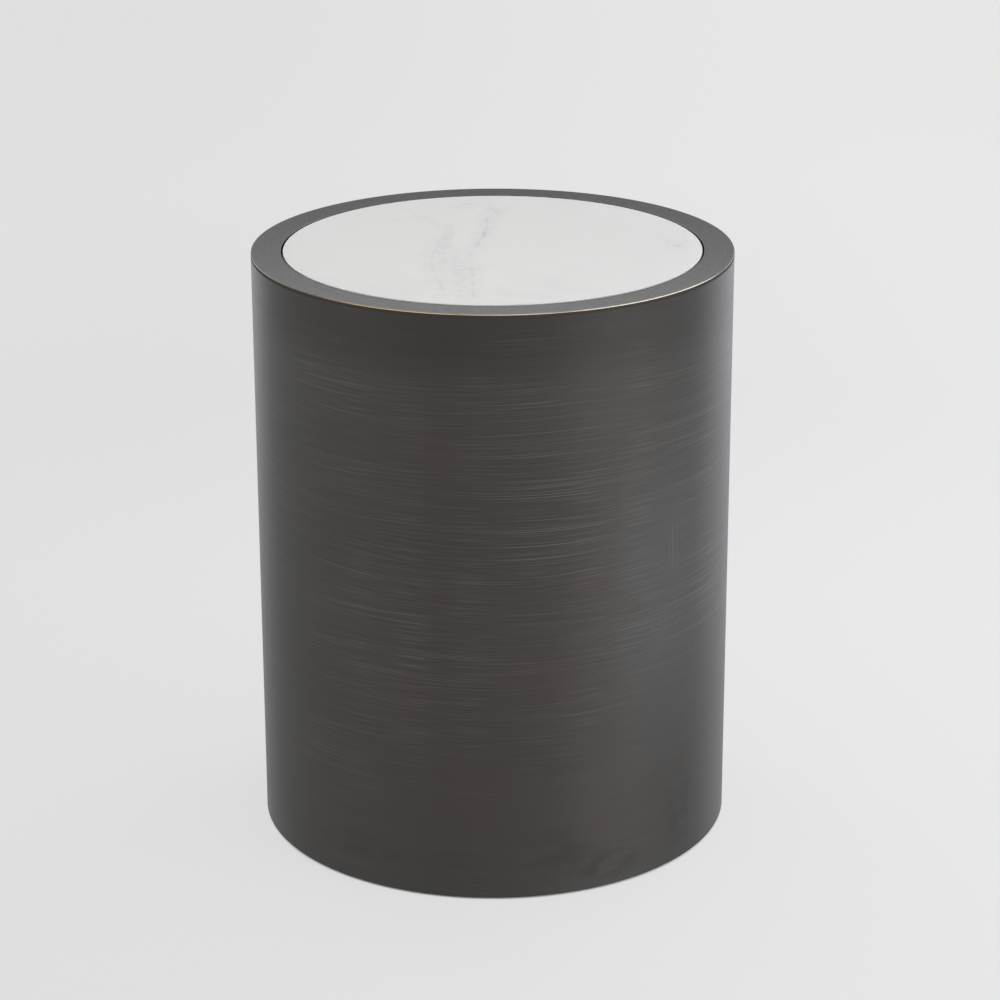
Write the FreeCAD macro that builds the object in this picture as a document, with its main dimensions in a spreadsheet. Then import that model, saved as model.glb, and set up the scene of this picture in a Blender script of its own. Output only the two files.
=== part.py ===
# Drum side table: a rolled metal drum with a flat rim, an inset stone top and levelling feet.
#
# Millimetres, +Z up. The origin is on the drum's axis, in the plane of the floor. The front
# faces -Y, and the seam of the rolled sheet is at the back, at +Y.
#
# The sheet "Sizes" holds every size that can be set by itself. "Places" holds what follows
# from them: the radii and the heights above the floor at which the pieces meet.
import FreeCAD, Part
import math
import os

import Sketcher

SIZES = [
    ("drum_diameter", 400.0, "outside of the shell and of the rim"),
    ("table_height", 500.0, "floor to the top of the stone, feet screwed right in"),
    ("floor_gap", 2.0, "floor to the lower edge of the shell"),
    ("shell_wall", 1.5, "sheet of the shell"),
    ("seam_gap", 0.3, "open joint where the rolled sheet's edges meet"),
    ("seam_strip_width", 30.0, "backing strip, across the seam"),
    ("seam_strip_thickness", 1.5, "sheet of the backing strip"),
    ("solder_film", 0.1, "solder between the backing strip and the shell"),
    ("seam_strip_end_gap", 1.0, "end of the backing strip to the rim or the base ring"),
    ("hoop_level", 320.0, "floor to the middle of the stiffening hoop"),
    ("hoop_width", 20.0, "height of the hoop's flat bar"),
    ("hoop_thickness", 3.0, "thickness of the hoop's flat bar"),
    ("hoop_end_gap", 2.0, "end of the hoop to the backing strip"),
    ("rim_width", 25.0, "flat top of the rim, outside to inside"),
    ("rim_thickness", 3.0, "plate of the rim"),
    ("rim_edge_radius", 0.8, "eased outer edge of the rim"),
    ("rim_inner_edge_radius", 0.4, "eased inner edge of the rim"),
    ("collar_wall", 2.0, "strip that lines the recess"),
    ("collar_skirt", 3.0, "collar below the ledge ring, room for the weld"),
    ("stone_thickness", 12.0, "slab of the top"),
    ("stone_gap", 1.5, "shadow gap between the stone and the rim"),
    ("stone_edge_radius", 0.6, "eased upper edge of the stone"),
    ("bedding_thickness", 2.0, "silicone dots under the stone"),
    ("bedding_diameter", 30.0, "pressed silicone dot"),
    ("bedding_inset", 45.0, "edge of the stone to the middle of a dot"),
    ("bedding_count", 6.0, "silicone dots"),
    ("sub_top_thickness", 15.0, "carrier board under the stone"),
    ("sub_top_gap", 1.5, "edge of the carrier board to the collar"),
    ("ledge_thickness", 3.0, "plate of the ledge ring"),
    ("ledge_lip", 2.0, "ledge ring past the inner face of the uprights"),
    ("ledge_screw_bite", 11.0, "length of a ledge screw in the carrier board"),
    ("upright_width", 20.0, "square tube, across the flats"),
    ("upright_wall", 1.5, "wall of the square tube"),
    ("upright_inset", 5.0, "outer face of an upright to the inside of the recess"),
    ("base_ring_thickness", 4.0, "plate of the base ring"),
    ("base_ring_lip", 10.0, "base ring past the inner face of the uprights"),
    ("base_board_thickness", 6.0, "board that closes the drum"),
    ("base_board_gap", 1.0, "edge of the base board to the shell"),
    ("base_screw_inset", 12.0, "inside of the shell to a base screw's axis"),
    ("base_screw_reach", 2.0, "base screw past the base ring"),
    ("base_screw_count", 8.0, "screws in the base board"),
    ("screw_diameter", 5.0, "shank of the screws, over the thread"),
    ("screw_head_diameter", 9.5, "button head"),
    ("screw_head_height", 2.8, "button head"),
    ("screw_head_edge", 1.2, "bevel round the button head"),
    ("screw_socket_flats", 3.0, "hexagon socket, across the flats"),
    ("screw_socket_depth", 1.6, "hexagon socket"),
    ("screw_hole_gap", 0.4, "shank to the wall of a plain hole"),
    ("pilot_end_gap", 1.0, "tip of a ledge screw to the end of its hole"),
    ("thread_gap", 0.05, "outside of a thread to the wall of its hole"),
    ("stem_diameter", 8.0, "levelling stem, over the thread"),
    ("stem_tip_bevel", 0.8, "bevel at the top of the stem"),
    ("stem_reserve", 8.0, "stem left above the weld nut with the foot right out"),
    ("stem_hole_gap", 1.0, "stem to the wall of its hole in the base"),
    ("stem_head_diameter", 14.0, "disc on the stem that turns in the pad"),
    ("stem_head_thickness", 1.5, "disc on the stem that turns in the pad"),
    ("stem_head_gap", 0.3, "rim of that disc to the pad"),
    ("hex_flats", 13.0, "hexagon on the stem, across the flats"),
    ("hex_height", 3.4, "hexagon on the stem"),
    ("turning_gap", 0.3, "top of the pad to the hexagon"),
    ("shoulder_gap", 0.3, "hexagon to the base board, foot right in"),
    ("running_gap", 0.05, "stem to the pad that it turns in"),
    ("nut_height", 10.0, "weld nut of a foot"),
    ("nut_tube_gap", 1.5, "weld nut to the inside of its upright"),
    ("foot_travel", 8.0, "levelling range"),
    ("pad_diameter", 38.0, "foot pad"),
    ("pad_crown_diameter", 20.0, "flat top of the foot pad"),
    ("pad_edge_height", 2.5, "upright edge of the foot pad"),
    ("pad_floor", 1.0, "pad between the sole and the stem's disc"),
    ("pad_roof", 1.9, "pad above the stem's disc"),
    ("pad_border", 3.0, "pad round the sole"),
    ("sole_thickness", 1.5, "anti-slip sole"),
    ("sole_reveal", 0.5, "sole below the pad"),
]

PLACES = [
    ("drum_radius", "Sizes.drum_diameter / 2"),
    ("shell_inner_radius", "Places.drum_radius - Sizes.shell_wall"),
    ("rim_underside", "Sizes.table_height - Sizes.rim_thickness"),
    ("rim_inner_radius", "Places.drum_radius - Sizes.rim_width"),
    ("stone_radius", "Places.rim_inner_radius - Sizes.stone_gap"),
    ("stone_underside", "Sizes.table_height - Sizes.stone_thickness"),
    ("bedding_underside", "Places.stone_underside - Sizes.bedding_thickness"),
    ("bedding_circle", "Places.stone_radius - Sizes.bedding_inset"),
    ("sub_top_underside", "Places.bedding_underside - Sizes.sub_top_thickness"),
    ("sub_top_radius", "Places.rim_inner_radius - Sizes.sub_top_gap"),
    ("ledge_underside", "Places.sub_top_underside - Sizes.ledge_thickness"),
    ("collar_underside", "Places.ledge_underside - Sizes.collar_skirt"),
    ("frame_circle", "Places.rim_inner_radius - Sizes.upright_inset - Sizes.upright_width / 2"),
    ("frame_inner_radius", "Places.frame_circle - Sizes.upright_width / 2"),
    ("sole_radius", "Sizes.pad_diameter / 2 - Sizes.pad_border"),
    ("disc_room_floor", "Sizes.sole_thickness + Sizes.pad_floor"),
    ("disc_underside", "Places.disc_room_floor + Sizes.running_gap"),
    ("disc_top", "Places.disc_underside + Sizes.stem_head_thickness"),
    ("disc_room_roof", "Places.disc_top + Sizes.running_gap"),
    ("pad_top", "Places.disc_room_roof + Sizes.pad_roof"),
    ("hex_underside", "Places.pad_top + Sizes.turning_gap"),
    ("hex_top", "Places.hex_underside + Sizes.hex_height"),
    ("base_board_underside", "Places.hex_top + Sizes.shoulder_gap"),
    ("base_ring_underside", "Places.base_board_underside + Sizes.base_board_thickness"),
    ("base_ring_top", "Places.base_ring_underside + Sizes.base_ring_thickness"),
    ("nut_top", "Places.base_ring_top + Sizes.nut_height"),
    ("stem_top", "Places.nut_top + Sizes.foot_travel + Sizes.stem_reserve"),
    ("stem_radius", "Sizes.stem_diameter / 2"),
    ("stem_hole_radius", "Places.stem_radius + Sizes.stem_hole_gap"),
    ("base_screw_circle", "Places.shell_inner_radius - Sizes.base_screw_inset"),
    ("screw_radius", "Sizes.screw_diameter / 2"),
    ("screw_head_radius", "Sizes.screw_head_diameter / 2"),
    ("screw_hole_radius", "Places.screw_radius + Sizes.screw_hole_gap"),
    ("screw_thread_hole_radius", "Places.screw_radius + Sizes.thread_gap"),
]

# The uprights and their feet, counter-clockwise from above, and the first one's angle from +X.
CORNERS = ("back_right", "back_left", "front_left", "front_right")
FIRST_CORNER = 45.0
FULL_TURN = 360.0
BACK_TO_FRONT = 180.0
HEXAGON_SIDES = 6
ON_AXIS = "0"

document = FreeCAD.newDocument("DrumSideTable")
sizes = document.addObject("Spreadsheet::Sheet", "Sizes")
places = document.addObject("App::VarSet", "Places")
sub_parts = []


# ---- sizes and shared helpers -----------------------------------------------------------------

def fill_sizes():
    """Write the driving sizes in the sheet: alias, value and what the value measures."""
    for row, (alias, value, note) in enumerate(SIZES, start=1):
        sizes.set(f"A{row}", alias)
        sizes.set(f"B{row}", str(value))
        sizes.set(f"C{row}", note)
        sizes.setAlias(f"B{row}", alias)
    document.recompute()


def fill_places():
    """Add one bound number for each radius and height that follows from the sizes."""
    for name, formula in PLACES:
        places.addProperty("App::PropertyFloat", name, "Places")
        places.setExpression(name, formula)
    document.recompute()


def value(formula):
    """Return the number that a formula gives now."""
    return float(sizes.evalExpression(formula))


def new_body(label):
    """Start a sub-part: a body whose label names its file."""
    body = document.addObject("PartDesign::Body", label)
    body.Label = label
    sub_parts.append(body)
    return body


def origin_feature(body, role):
    """Return the body's own origin plane or axis with this role."""
    return next(item for item in body.Origin.OriginFeatures if item.Role == role)


def attach(item, body, role, offset):
    """Lay a sketch or primitive on an origin plane, moved by bound offsets along x, y and z."""
    item.AttachmentSupport = [(origin_feature(body, role), "")]
    item.MapMode = "FlatFace"
    for axis, formula in offset.items():
        item.setExpression(f"AttachmentOffset.Base.{axis}", formula)


def new_sketch(body, name, role, **offset):
    """Add a sketch to a body on one of its origin planes."""
    sketch = body.newObject("Sketcher::SketchObject", name)
    attach(sketch, body, role, offset)
    return sketch


def bind(sketch, constraint, name, formula):
    """Add a constraint of a sketch, name it and bind it to a formula."""
    index = sketch.addConstraint(Sketcher.Constraint(*constraint, value(formula)))
    sketch.renameConstraint(index, name)
    sketch.setExpression(f"Constraints.{name}", formula)


def add_circle(sketch, name, radius):
    """Draw a circle round the sketch's own origin."""
    circle = Part.Circle(FreeCAD.Vector(), FreeCAD.Vector(0, 0, 1), value(radius))
    index = sketch.addGeometry(circle, False)
    sketch.addConstraint(Sketcher.Constraint("Coincident", index, 3, -1, 1))
    bind(sketch, ("Radius", index), name, radius)


def add_polygon(sketch, corners):
    """Draw a closed chain of lines through the corners and return the first line's index."""
    first = sketch.GeometryCount
    count = len(corners)
    for index, corner in enumerate(corners):
        end = corners[(index + 1) % count]
        sketch.addGeometry(Part.LineSegment(FreeCAD.Vector(*corner), FreeCAD.Vector(*end)), False)
    for index in range(count):
        following = first + (index + 1) % count
        sketch.addConstraint(Sketcher.Constraint("Coincident", first + index, 2, following, 1))
    return first


def add_rectangle(sketch, name, width, depth):
    """Draw a rectangle with its middle on the sketch's origin."""
    half_width = value(width) / 2
    half_depth = value(depth) / 2
    low_left = (-half_width, -half_depth)
    low_right = (half_width, -half_depth)
    high_right = (half_width, half_depth)
    high_left = (-half_width, half_depth)
    first = add_polygon(sketch, [low_left, low_right, high_right, high_left])
    for line, direction in enumerate(("Horizontal", "Vertical", "Horizontal", "Vertical")):
        sketch.addConstraint(Sketcher.Constraint(direction, first + line))
    sketch.addConstraint(Sketcher.Constraint("Symmetric", first, 1, first + 2, 1, -1, 1))
    bind(sketch, ("DistanceX", first, 1, first, 2), f"{name}_width", width)
    bind(sketch, ("DistanceY", first + 1, 1, first + 1, 2), f"{name}_depth", depth)


def section_sketch(body, role, corners, **offset):
    """Draw the half section of a turned piece from its corners, each a radius and a level."""
    sketch = new_sketch(body, "section", role, **offset)
    start = [(value(radius), value(level)) for radius, level in corners]
    add_polygon(sketch, start)
    for index, (radius, level) in enumerate(corners):
        if radius == ON_AXIS:
            sketch.addConstraint(Sketcher.Constraint("PointOnObject", index, 1, -2))
        else:
            bind(sketch, ("DistanceX", -1, 1, index, 1), f"radius_{index}", radius)
        bind(sketch, ("DistanceY", -1, 1, index, 1), f"level_{index}", level)
    return sketch


def turn(body, sketch, angle=None):
    """Turn a half section about the sketch's vertical axis, by a full turn or a bound angle."""
    revolution = body.newObject("PartDesign::Revolution", "turned")
    revolution.Profile = sketch
    revolution.ReferenceAxis = (sketch, ["V_Axis"])
    if angle is None:
        revolution.Angle = FULL_TURN
    else:
        revolution.Midplane = True
        revolution.setExpression("Angle", angle)
    sketch.Visibility = False
    return revolution


def pad(body, sketch, length):
    """Raise a sketch upwards by a bound length."""
    feature = body.newObject("PartDesign::Pad", "raised")
    feature.Profile = sketch
    feature.setExpression("Length", length)
    return feature


def cut_down(body, sketch):
    """Cut a sketch that lies on the upper face down through the whole piece."""
    document.recompute()
    pocket = body.newObject("PartDesign::Pocket", "cut")
    pocket.Profile = sketch
    pocket.Type = "ThroughAll"
    return pocket


def plate(label, underside, top, outer, inner=None):
    """Build a disc, or a ring when it has an inner radius, between two levels."""
    body = new_body(label)
    sketch = new_sketch(body, "outline", "XY_Plane", z=underside)
    add_circle(sketch, "outer", outer)
    if inner is not None:
        add_circle(sketch, "inner", inner)
    pad(body, sketch, f"{top} - {underside}")
    return body


def repeat(body, features, count):
    """Repeat cuts round the body's vertical axis, the count bound to a formula."""
    pattern = body.newObject("PartDesign::PolarPattern", "spread")
    pattern.Originals = features
    pattern.Axis = (origin_feature(body, "Z_Axis"), [""])
    pattern.Angle = FULL_TURN
    pattern.setExpression("Occurrences", count)
    body.Tip = pattern
    return pattern


def repeat_all(body, count):
    """Repeat the whole piece round the body's vertical axis, as separate solids."""
    pattern = repeat(body, [], count)
    pattern.TransformMode = "Whole shape"


def drill(body, top, radius, circle, count, first_angle):
    """Drill equal holes down through a plate, on a circle round its axis."""
    across = f"{circle} * cos({first_angle})"
    along = f"{circle} * sin({first_angle})"
    sketch = new_sketch(body, "hole", "XY_Plane", x=across, y=along, z=top)
    add_circle(sketch, "hole_radius", radius)
    repeat(body, [cut_down(body, sketch)], count)


def ease_edge(body, radius, level, fillet):
    """Round the circular edge of this radius at this level."""
    document.recompute()
    base = body.Tip
    names = [
        f"Edge{index}"
        for index, edge in enumerate(base.Shape.Edges, start=1)
        if is_circle_at(edge, value(radius), value(level))
    ]
    feature = body.newObject("PartDesign::Fillet", "eased")
    feature.Base = (base, names)
    feature.setExpression("Radius", fillet)


def is_circle_at(edge, radius, level):
    """Tell whether an edge is a circle of this radius at this level."""
    if not isinstance(edge.Curve, Part.Circle):
        return False
    same_radius = math.isclose(edge.Curve.Radius, radius, abs_tol=1e-6)
    same_level = math.isclose(edge.Curve.Center.z, level, abs_tol=1e-6)
    return same_radius and same_level


def corner_angle(corner):
    """Return the angle of a corner of the frame, in degrees from +X."""
    return FIRST_CORNER + CORNERS.index(corner) * FULL_TURN / len(CORNERS)


def stand_at_corner(body, corner):
    """Move a piece from the drum's axis to a corner of the frame, its x axis pointing outwards."""
    angle = corner_angle(corner)
    body.Placement = FreeCAD.Placement(
        FreeCAD.Vector(), FreeCAD.Rotation(FreeCAD.Vector(0, 0, 1), angle)
    )
    body.setExpression("Placement.Base.x", f"Places.frame_circle * cos({angle})")
    body.setExpression("Placement.Base.y", f"Places.frame_circle * sin({angle})")


# ---- drum -------------------------------------------------------------------------------------

def build_drum_shell():
    """Rolled sheet, from just above the floor up to the rim, with its seam at the back."""
    body = plate(
        "drum_shell",
        "Sizes.floor_gap",
        "Places.rim_underside",
        "Places.drum_radius",
        "Places.shell_inner_radius",
    )
    middle_of_wall = "(Places.drum_radius + Places.shell_inner_radius) / 2"
    seam = new_sketch(body, "seam", "XY_Plane", y=middle_of_wall, z="Places.rim_underside")
    add_rectangle(seam, "seam", "Sizes.seam_gap", "Sizes.shell_wall * 2")
    cut_down(body, seam)


def build_seam_strip():
    """Curved strip behind the seam, from the base ring up to the rim."""
    body = new_body("seam_strip")
    outer = "Places.shell_inner_radius - Sizes.solder_film"
    inner = f"{outer} - Sizes.seam_strip_thickness"
    low = "Places.base_ring_top + Sizes.seam_strip_end_gap"
    high = "Places.rim_underside - Sizes.seam_strip_end_gap"
    corners = [(inner, low), (outer, low), (outer, high), (inner, high)]
    half_width = "Sizes.seam_strip_width / 2 / Places.shell_inner_radius"
    turn(body, section_sketch(body, "YZ_Plane", corners), f"2 * asin({half_width})")


def build_middle_hoop():
    """Flat bar rolled to the inside of the shell, open at the backing strip."""
    body = new_body("middle_hoop")
    inner = "Places.shell_inner_radius - Sizes.hoop_thickness"
    outer = "Places.shell_inner_radius"
    low = "Sizes.hoop_level - Sizes.hoop_width / 2"
    high = "Sizes.hoop_level + Sizes.hoop_width / 2"
    corners = [(inner, low), (outer, low), (outer, high), (inner, high)]
    half_opening = "(Sizes.seam_strip_width / 2 + Sizes.hoop_end_gap) / Places.shell_inner_radius"
    turn(body, section_sketch(body, "YZ_Plane", corners), f"360 deg - 2 * asin({half_opening})")
    body.Placement.Rotation = FreeCAD.Rotation(FreeCAD.Vector(0, 0, 1), BACK_TO_FRONT)


# ---- rim and top ------------------------------------------------------------------------------

def build_rim_ring():
    """Flat ring on the shell's upper edge, its two upper edges eased."""
    body = plate(
        "rim_ring",
        "Places.rim_underside",
        "Sizes.table_height",
        "Places.drum_radius",
        "Places.rim_inner_radius",
    )
    ease_edge(body, "Places.drum_radius", "Sizes.table_height", "Sizes.rim_edge_radius")
    ease_edge(body, "Places.rim_inner_radius", "Sizes.table_height", "Sizes.rim_inner_edge_radius")


def build_rim_collar():
    """Rolled strip under the rim's inner edge: the wall of the recess."""
    plate(
        "rim_collar",
        "Places.collar_underside",
        "Places.rim_underside",
        "Places.rim_inner_radius + Sizes.collar_wall",
        "Places.rim_inner_radius",
    )


def build_ledge_ring():
    """Flat ring inside the collar that carries the board, with one screw hole in each bay."""
    body = plate(
        "ledge_ring",
        "Places.ledge_underside",
        "Places.sub_top_underside",
        "Places.rim_inner_radius",
        "Places.frame_inner_radius - Sizes.ledge_lip",
    )
    bays = str(len(CORNERS))
    drill(body, "Places.sub_top_underside", "Places.screw_hole_radius", "Places.frame_circle", bays, 0)


def build_sub_top():
    """Round carrier board with a pilot hole over each hole of the ledge ring."""
    body = plate(
        "sub_top", "Places.sub_top_underside", "Places.bedding_underside", "Places.sub_top_radius"
    )
    level = "Places.sub_top_underside"
    sketch = new_sketch(body, "pilot", "XY_Plane", x="Places.frame_circle", z=level)
    add_circle(sketch, "pilot_radius", "Places.screw_thread_hole_radius")
    document.recompute()
    pilot = body.newObject("PartDesign::Pocket", "pilot_hole")
    pilot.Profile = sketch
    pilot.Reversed = True
    pilot.setExpression("Length", "Sizes.ledge_screw_bite + Sizes.pilot_end_gap")
    repeat(body, [pilot], str(len(CORNERS)))


def build_bedding_dots():
    """Silicone dots that bed the stone on the carrier board."""
    body = new_body("bedding_dots")
    level = "Places.bedding_underside"
    sketch = new_sketch(body, "dot", "XY_Plane", x="Places.bedding_circle", z=level)
    add_circle(sketch, "dot_radius", "Sizes.bedding_diameter / 2")
    pad(body, sketch, "Sizes.bedding_thickness")
    repeat_all(body, "Sizes.bedding_count")


def build_stone_top():
    """Round slab, flush with the rim, its upper edge eased."""
    body = plate("stone_top", "Places.stone_underside", "Sizes.table_height", "Places.stone_radius")
    ease_edge(body, "Places.stone_radius", "Sizes.table_height", "Sizes.stone_edge_radius")


# ---- frame and base ---------------------------------------------------------------------------

def build_uprights():
    """Square tubes from the base ring up to the ledge ring."""
    for corner in CORNERS:
        body = new_body(f"{corner}_upright")
        sketch = new_sketch(body, "outline", "XY_Plane", z="Places.base_ring_top")
        inside = "Sizes.upright_width - 2 * Sizes.upright_wall"
        add_rectangle(sketch, "outer", "Sizes.upright_width", "Sizes.upright_width")
        add_rectangle(sketch, "inner", inside, inside)
        pad(body, sketch, "Places.ledge_underside - Places.base_ring_top")
        stand_at_corner(body, corner)


def build_base_ring():
    """Flat ring inside the shell, with a hole for each stem and threaded holes for the board."""
    top = "Places.base_ring_top"
    body = plate(
        "base_ring",
        "Places.base_ring_underside",
        top,
        "Places.shell_inner_radius",
        "Places.frame_inner_radius - Sizes.base_ring_lip",
    )
    drill_base_holes(body, top, "Places.screw_thread_hole_radius")


def build_base_board():
    """Board that closes the drum, with a hole for each stem and each screw."""
    top = "Places.base_ring_underside"
    outer = "Places.shell_inner_radius - Sizes.base_board_gap"
    body = plate("base_board", "Places.base_board_underside", top, outer)
    drill_base_holes(body, top, "Places.screw_hole_radius")


def drill_base_holes(body, top, screw_hole):
    """Drill the holes that the base ring and the base board share."""
    stems = str(len(CORNERS))
    drill(body, top, "Places.stem_hole_radius", "Places.frame_circle", stems, FIRST_CORNER)
    half_step = "180 / Sizes.base_screw_count"
    drill(body, top, screw_hole, "Places.base_screw_circle", "Sizes.base_screw_count", half_step)


def build_screws(label, seat, length, circle, count):
    """Button-head screws that point upwards, their heads seated under a level."""
    body = new_body(label)
    head = f"{seat} - Sizes.screw_head_height"
    bevel_top = f"{head} + Sizes.screw_head_edge"
    bevel_radius = "Places.screw_head_radius - Sizes.screw_head_edge"
    tip = f"{seat} + {length}"
    corners = [
        (ON_AXIS, head),
        (bevel_radius, head),
        ("Places.screw_head_radius", bevel_top),
        ("Places.screw_head_radius", seat),
        ("Places.screw_radius", seat),
        ("Places.screw_radius", tip),
        (ON_AXIS, tip),
    ]
    turn(body, section_sketch(body, "XZ_Plane", corners, x=circle))
    document.recompute()
    socket = body.newObject("PartDesign::SubtractivePrism", "socket")
    attach(socket, body, "XY_Plane", {"x": circle, "z": head})
    socket.Polygon = HEXAGON_SIDES
    socket.setExpression("Circumradius", "Sizes.screw_socket_flats / 2 / cos(30)")
    socket.setExpression("Height", "Sizes.screw_socket_depth")
    repeat_all(body, count)
    return body


def build_ledge_screws():
    """Screws up through the ledge ring into the carrier board, one in each bay."""
    length = "Sizes.ledge_thickness + Sizes.ledge_screw_bite"
    count = str(len(CORNERS))
    build_screws("ledge_screws", "Places.ledge_underside", length, "Places.frame_circle", count)


def build_base_screws():
    """Screws up through the base board into the base ring, between the stems."""
    length = "Sizes.base_board_thickness + Sizes.base_ring_thickness + Sizes.base_screw_reach"
    count = "Sizes.base_screw_count"
    circle = "Places.base_screw_circle"
    body = build_screws("base_screws", "Places.base_board_underside", length, circle, count)
    body.setExpression("Placement.Rotation.Angle", f"180 / {count}")


# ---- levelling feet ---------------------------------------------------------------------------

def build_foot_nut(corner):
    """Round weld nut on the base ring, inside the foot of its upright."""
    outer = "Sizes.upright_width / 2 - Sizes.upright_wall - Sizes.nut_tube_gap"
    bore = "Places.stem_radius + Sizes.thread_gap"
    body = plate(f"{corner}_foot_nut", "Places.base_ring_top", "Places.nut_top", outer, bore)
    stand_at_corner(body, corner)


def build_foot_stem(corner):
    """Levelling stem: a disc that turns in the pad, a hexagon and a threaded shank."""
    body = new_body(f"{corner}_foot_stem")
    disc_radius = "Sizes.stem_head_diameter / 2"
    bevel_radius = "Places.stem_radius - Sizes.stem_tip_bevel"
    bevel_level = "Places.stem_top - Sizes.stem_tip_bevel"
    corners = [
        (ON_AXIS, "Places.disc_underside"),
        (disc_radius, "Places.disc_underside"),
        (disc_radius, "Places.disc_top"),
        ("Places.stem_radius", "Places.disc_top"),
        ("Places.stem_radius", bevel_level),
        (bevel_radius, "Places.stem_top"),
        (ON_AXIS, "Places.stem_top"),
    ]
    turn(body, section_sketch(body, "XZ_Plane", corners))
    document.recompute()
    hexagon = body.newObject("PartDesign::AdditivePrism", "hexagon")
    attach(hexagon, body, "XY_Plane", {"z": "Places.hex_underside"})
    hexagon.Polygon = HEXAGON_SIDES
    hexagon.setExpression("Circumradius", "Sizes.hex_flats / 2 / cos(30)")
    hexagon.setExpression("Height", "Sizes.hex_height")
    stand_at_corner(body, corner)


def build_foot_pad(corner):
    """Domed pad with a recess for the sole and a closed room for the stem's disc."""
    body = new_body(f"{corner}_foot_pad")
    edge_radius = "Sizes.pad_diameter / 2"
    edge_top = "Sizes.sole_reveal + Sizes.pad_edge_height"
    neck_radius = "Places.stem_radius + Sizes.running_gap"
    room_radius = "Sizes.stem_head_diameter / 2 + Sizes.stem_head_gap"
    corners = [
        (ON_AXIS, "Sizes.sole_thickness"),
        ("Places.sole_radius", "Sizes.sole_thickness"),
        ("Places.sole_radius", "Sizes.sole_reveal"),
        (edge_radius, "Sizes.sole_reveal"),
        (edge_radius, edge_top),
        ("Sizes.pad_crown_diameter / 2", "Places.pad_top"),
        (neck_radius, "Places.pad_top"),
        (neck_radius, "Places.disc_room_roof"),
        (room_radius, "Places.disc_room_roof"),
        (room_radius, "Places.disc_room_floor"),
        (ON_AXIS, "Places.disc_room_floor"),
    ]
    turn(body, section_sketch(body, "XZ_Plane", corners))
    stand_at_corner(body, corner)


def build_foot_sole(corner):
    """Anti-slip disc glued in the pad's recess: the face that stands on the floor."""
    body = plate(f"{corner}_foot_sole", "0", "Sizes.sole_thickness", "Places.sole_radius")
    stand_at_corner(body, corner)


def build_feet():
    """One levelling foot under each upright."""
    for corner in CORNERS:
        build_foot_nut(corner)
        build_foot_stem(corner)
        build_foot_pad(corner)
        build_foot_sole(corner)


# ---- check and export -------------------------------------------------------------------------

def check_model():
    """Stop if any object failed or any sub-part has no valid solid."""
    for item in document.Objects:
        if "Invalid" in item.State or "Error" in item.State:
            raise RuntimeError(f"{item.Label}: {item.State}")
    for body in sub_parts:
        if body.Shape.isNull() or not body.Shape.isValid() or not body.Shape.Solids:
            raise RuntimeError(f"{body.Label}: no valid solid")


def export_parts():
    """Write one STEP file for each sub-part, named by its label."""
    os.makedirs("parts", exist_ok=True)
    for body in sub_parts:
        body.Shape.exportStep(f"parts/{body.Label}.step")
        print(f"{body.Label}: {len(body.Shape.Solids)} solid(s), {body.Shape.Volume:.1f} mm3")


def main():
    """Build, check and write the whole table."""
    fill_sizes()
    fill_places()
    build_drum_shell()
    build_seam_strip()
    build_middle_hoop()
    build_rim_ring()
    build_rim_collar()
    build_ledge_ring()
    build_sub_top()
    build_ledge_screws()
    build_bedding_dots()
    build_stone_top()
    build_uprights()
    build_base_ring()
    build_base_board()
    build_base_screws()
    build_feet()
    document.recompute()
    check_model()
    export_parts()


main()
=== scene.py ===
"""The looks of the drum side table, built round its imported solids.

Metres throughout, in the frame of the solids: the origin lies on the drum's axis at floor level,
+Z is up, the front faces -Y, and the seam of the rolled sheet runs down the back at +Y.
"""

import logging
import math
from collections.abc import Mapping, Sequence
from dataclasses import dataclass
from enum import Enum

import bmesh
import bpy
import numpy as np
from mathutils import Euler, Matrix, Vector


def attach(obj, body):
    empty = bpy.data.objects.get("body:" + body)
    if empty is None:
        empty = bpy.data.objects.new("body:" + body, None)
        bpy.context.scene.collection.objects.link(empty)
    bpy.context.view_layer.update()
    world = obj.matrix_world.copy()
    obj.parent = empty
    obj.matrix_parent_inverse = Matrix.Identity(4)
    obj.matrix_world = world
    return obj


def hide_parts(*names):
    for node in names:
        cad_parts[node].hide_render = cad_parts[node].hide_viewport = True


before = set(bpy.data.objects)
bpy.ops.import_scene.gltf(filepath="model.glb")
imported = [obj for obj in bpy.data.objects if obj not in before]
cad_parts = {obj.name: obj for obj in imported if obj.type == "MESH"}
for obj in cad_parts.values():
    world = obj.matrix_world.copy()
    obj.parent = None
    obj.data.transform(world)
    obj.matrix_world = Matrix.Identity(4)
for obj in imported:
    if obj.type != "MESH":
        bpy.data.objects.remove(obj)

MM = 0.001
SHEET_MAP = "sheet_map"
SHARP_ANGLE = math.radians(38.0)
MERGE_DISTANCE = 0.002 * MM
SMOOTH = {"interpolation_type": "SMOOTHSTEP"}
COLOURS = {"data_type": "RGBA"}
ADD = {"operation": "ADD"}
SUBTRACT = {"operation": "SUBTRACT"}
MULTIPLY = {"operation": "MULTIPLY"}
MAXIMUM = {"operation": "MAXIMUM"}
ABSOLUTE = {"operation": "ABSOLUTE"}
LENGTH = {"operation": "LENGTH"}
LESS_THAN = {"operation": "LESS_THAN"}
# The values that most of a noise lies between.
MOST_NOISE = {"From Min": 0.3, "From Max": 0.7}

log = logging.getLogger("drum_side_table")

Tree = bpy.types.NodeTree
Socket = bpy.types.NodeSocket
Material = bpy.types.Material
Piece = bpy.types.Object
NodeValue = float | str | bool | Sequence[float]
Point = tuple[float, float, float]


class Body(Enum):
    """The bodies of the table that new pieces ride on, by the kind of their name."""

    TABLE = "table"
    STEM = "stem"
    PAD = "pad"


class Corner(Enum):
    """A levelling foot's corner, with its angle from the front, towards +X, in degrees."""

    FRONT_LEFT = -45.0
    FRONT_RIGHT = 45.0
    BACK_RIGHT = 135.0
    BACK_LEFT = -135.0


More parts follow.
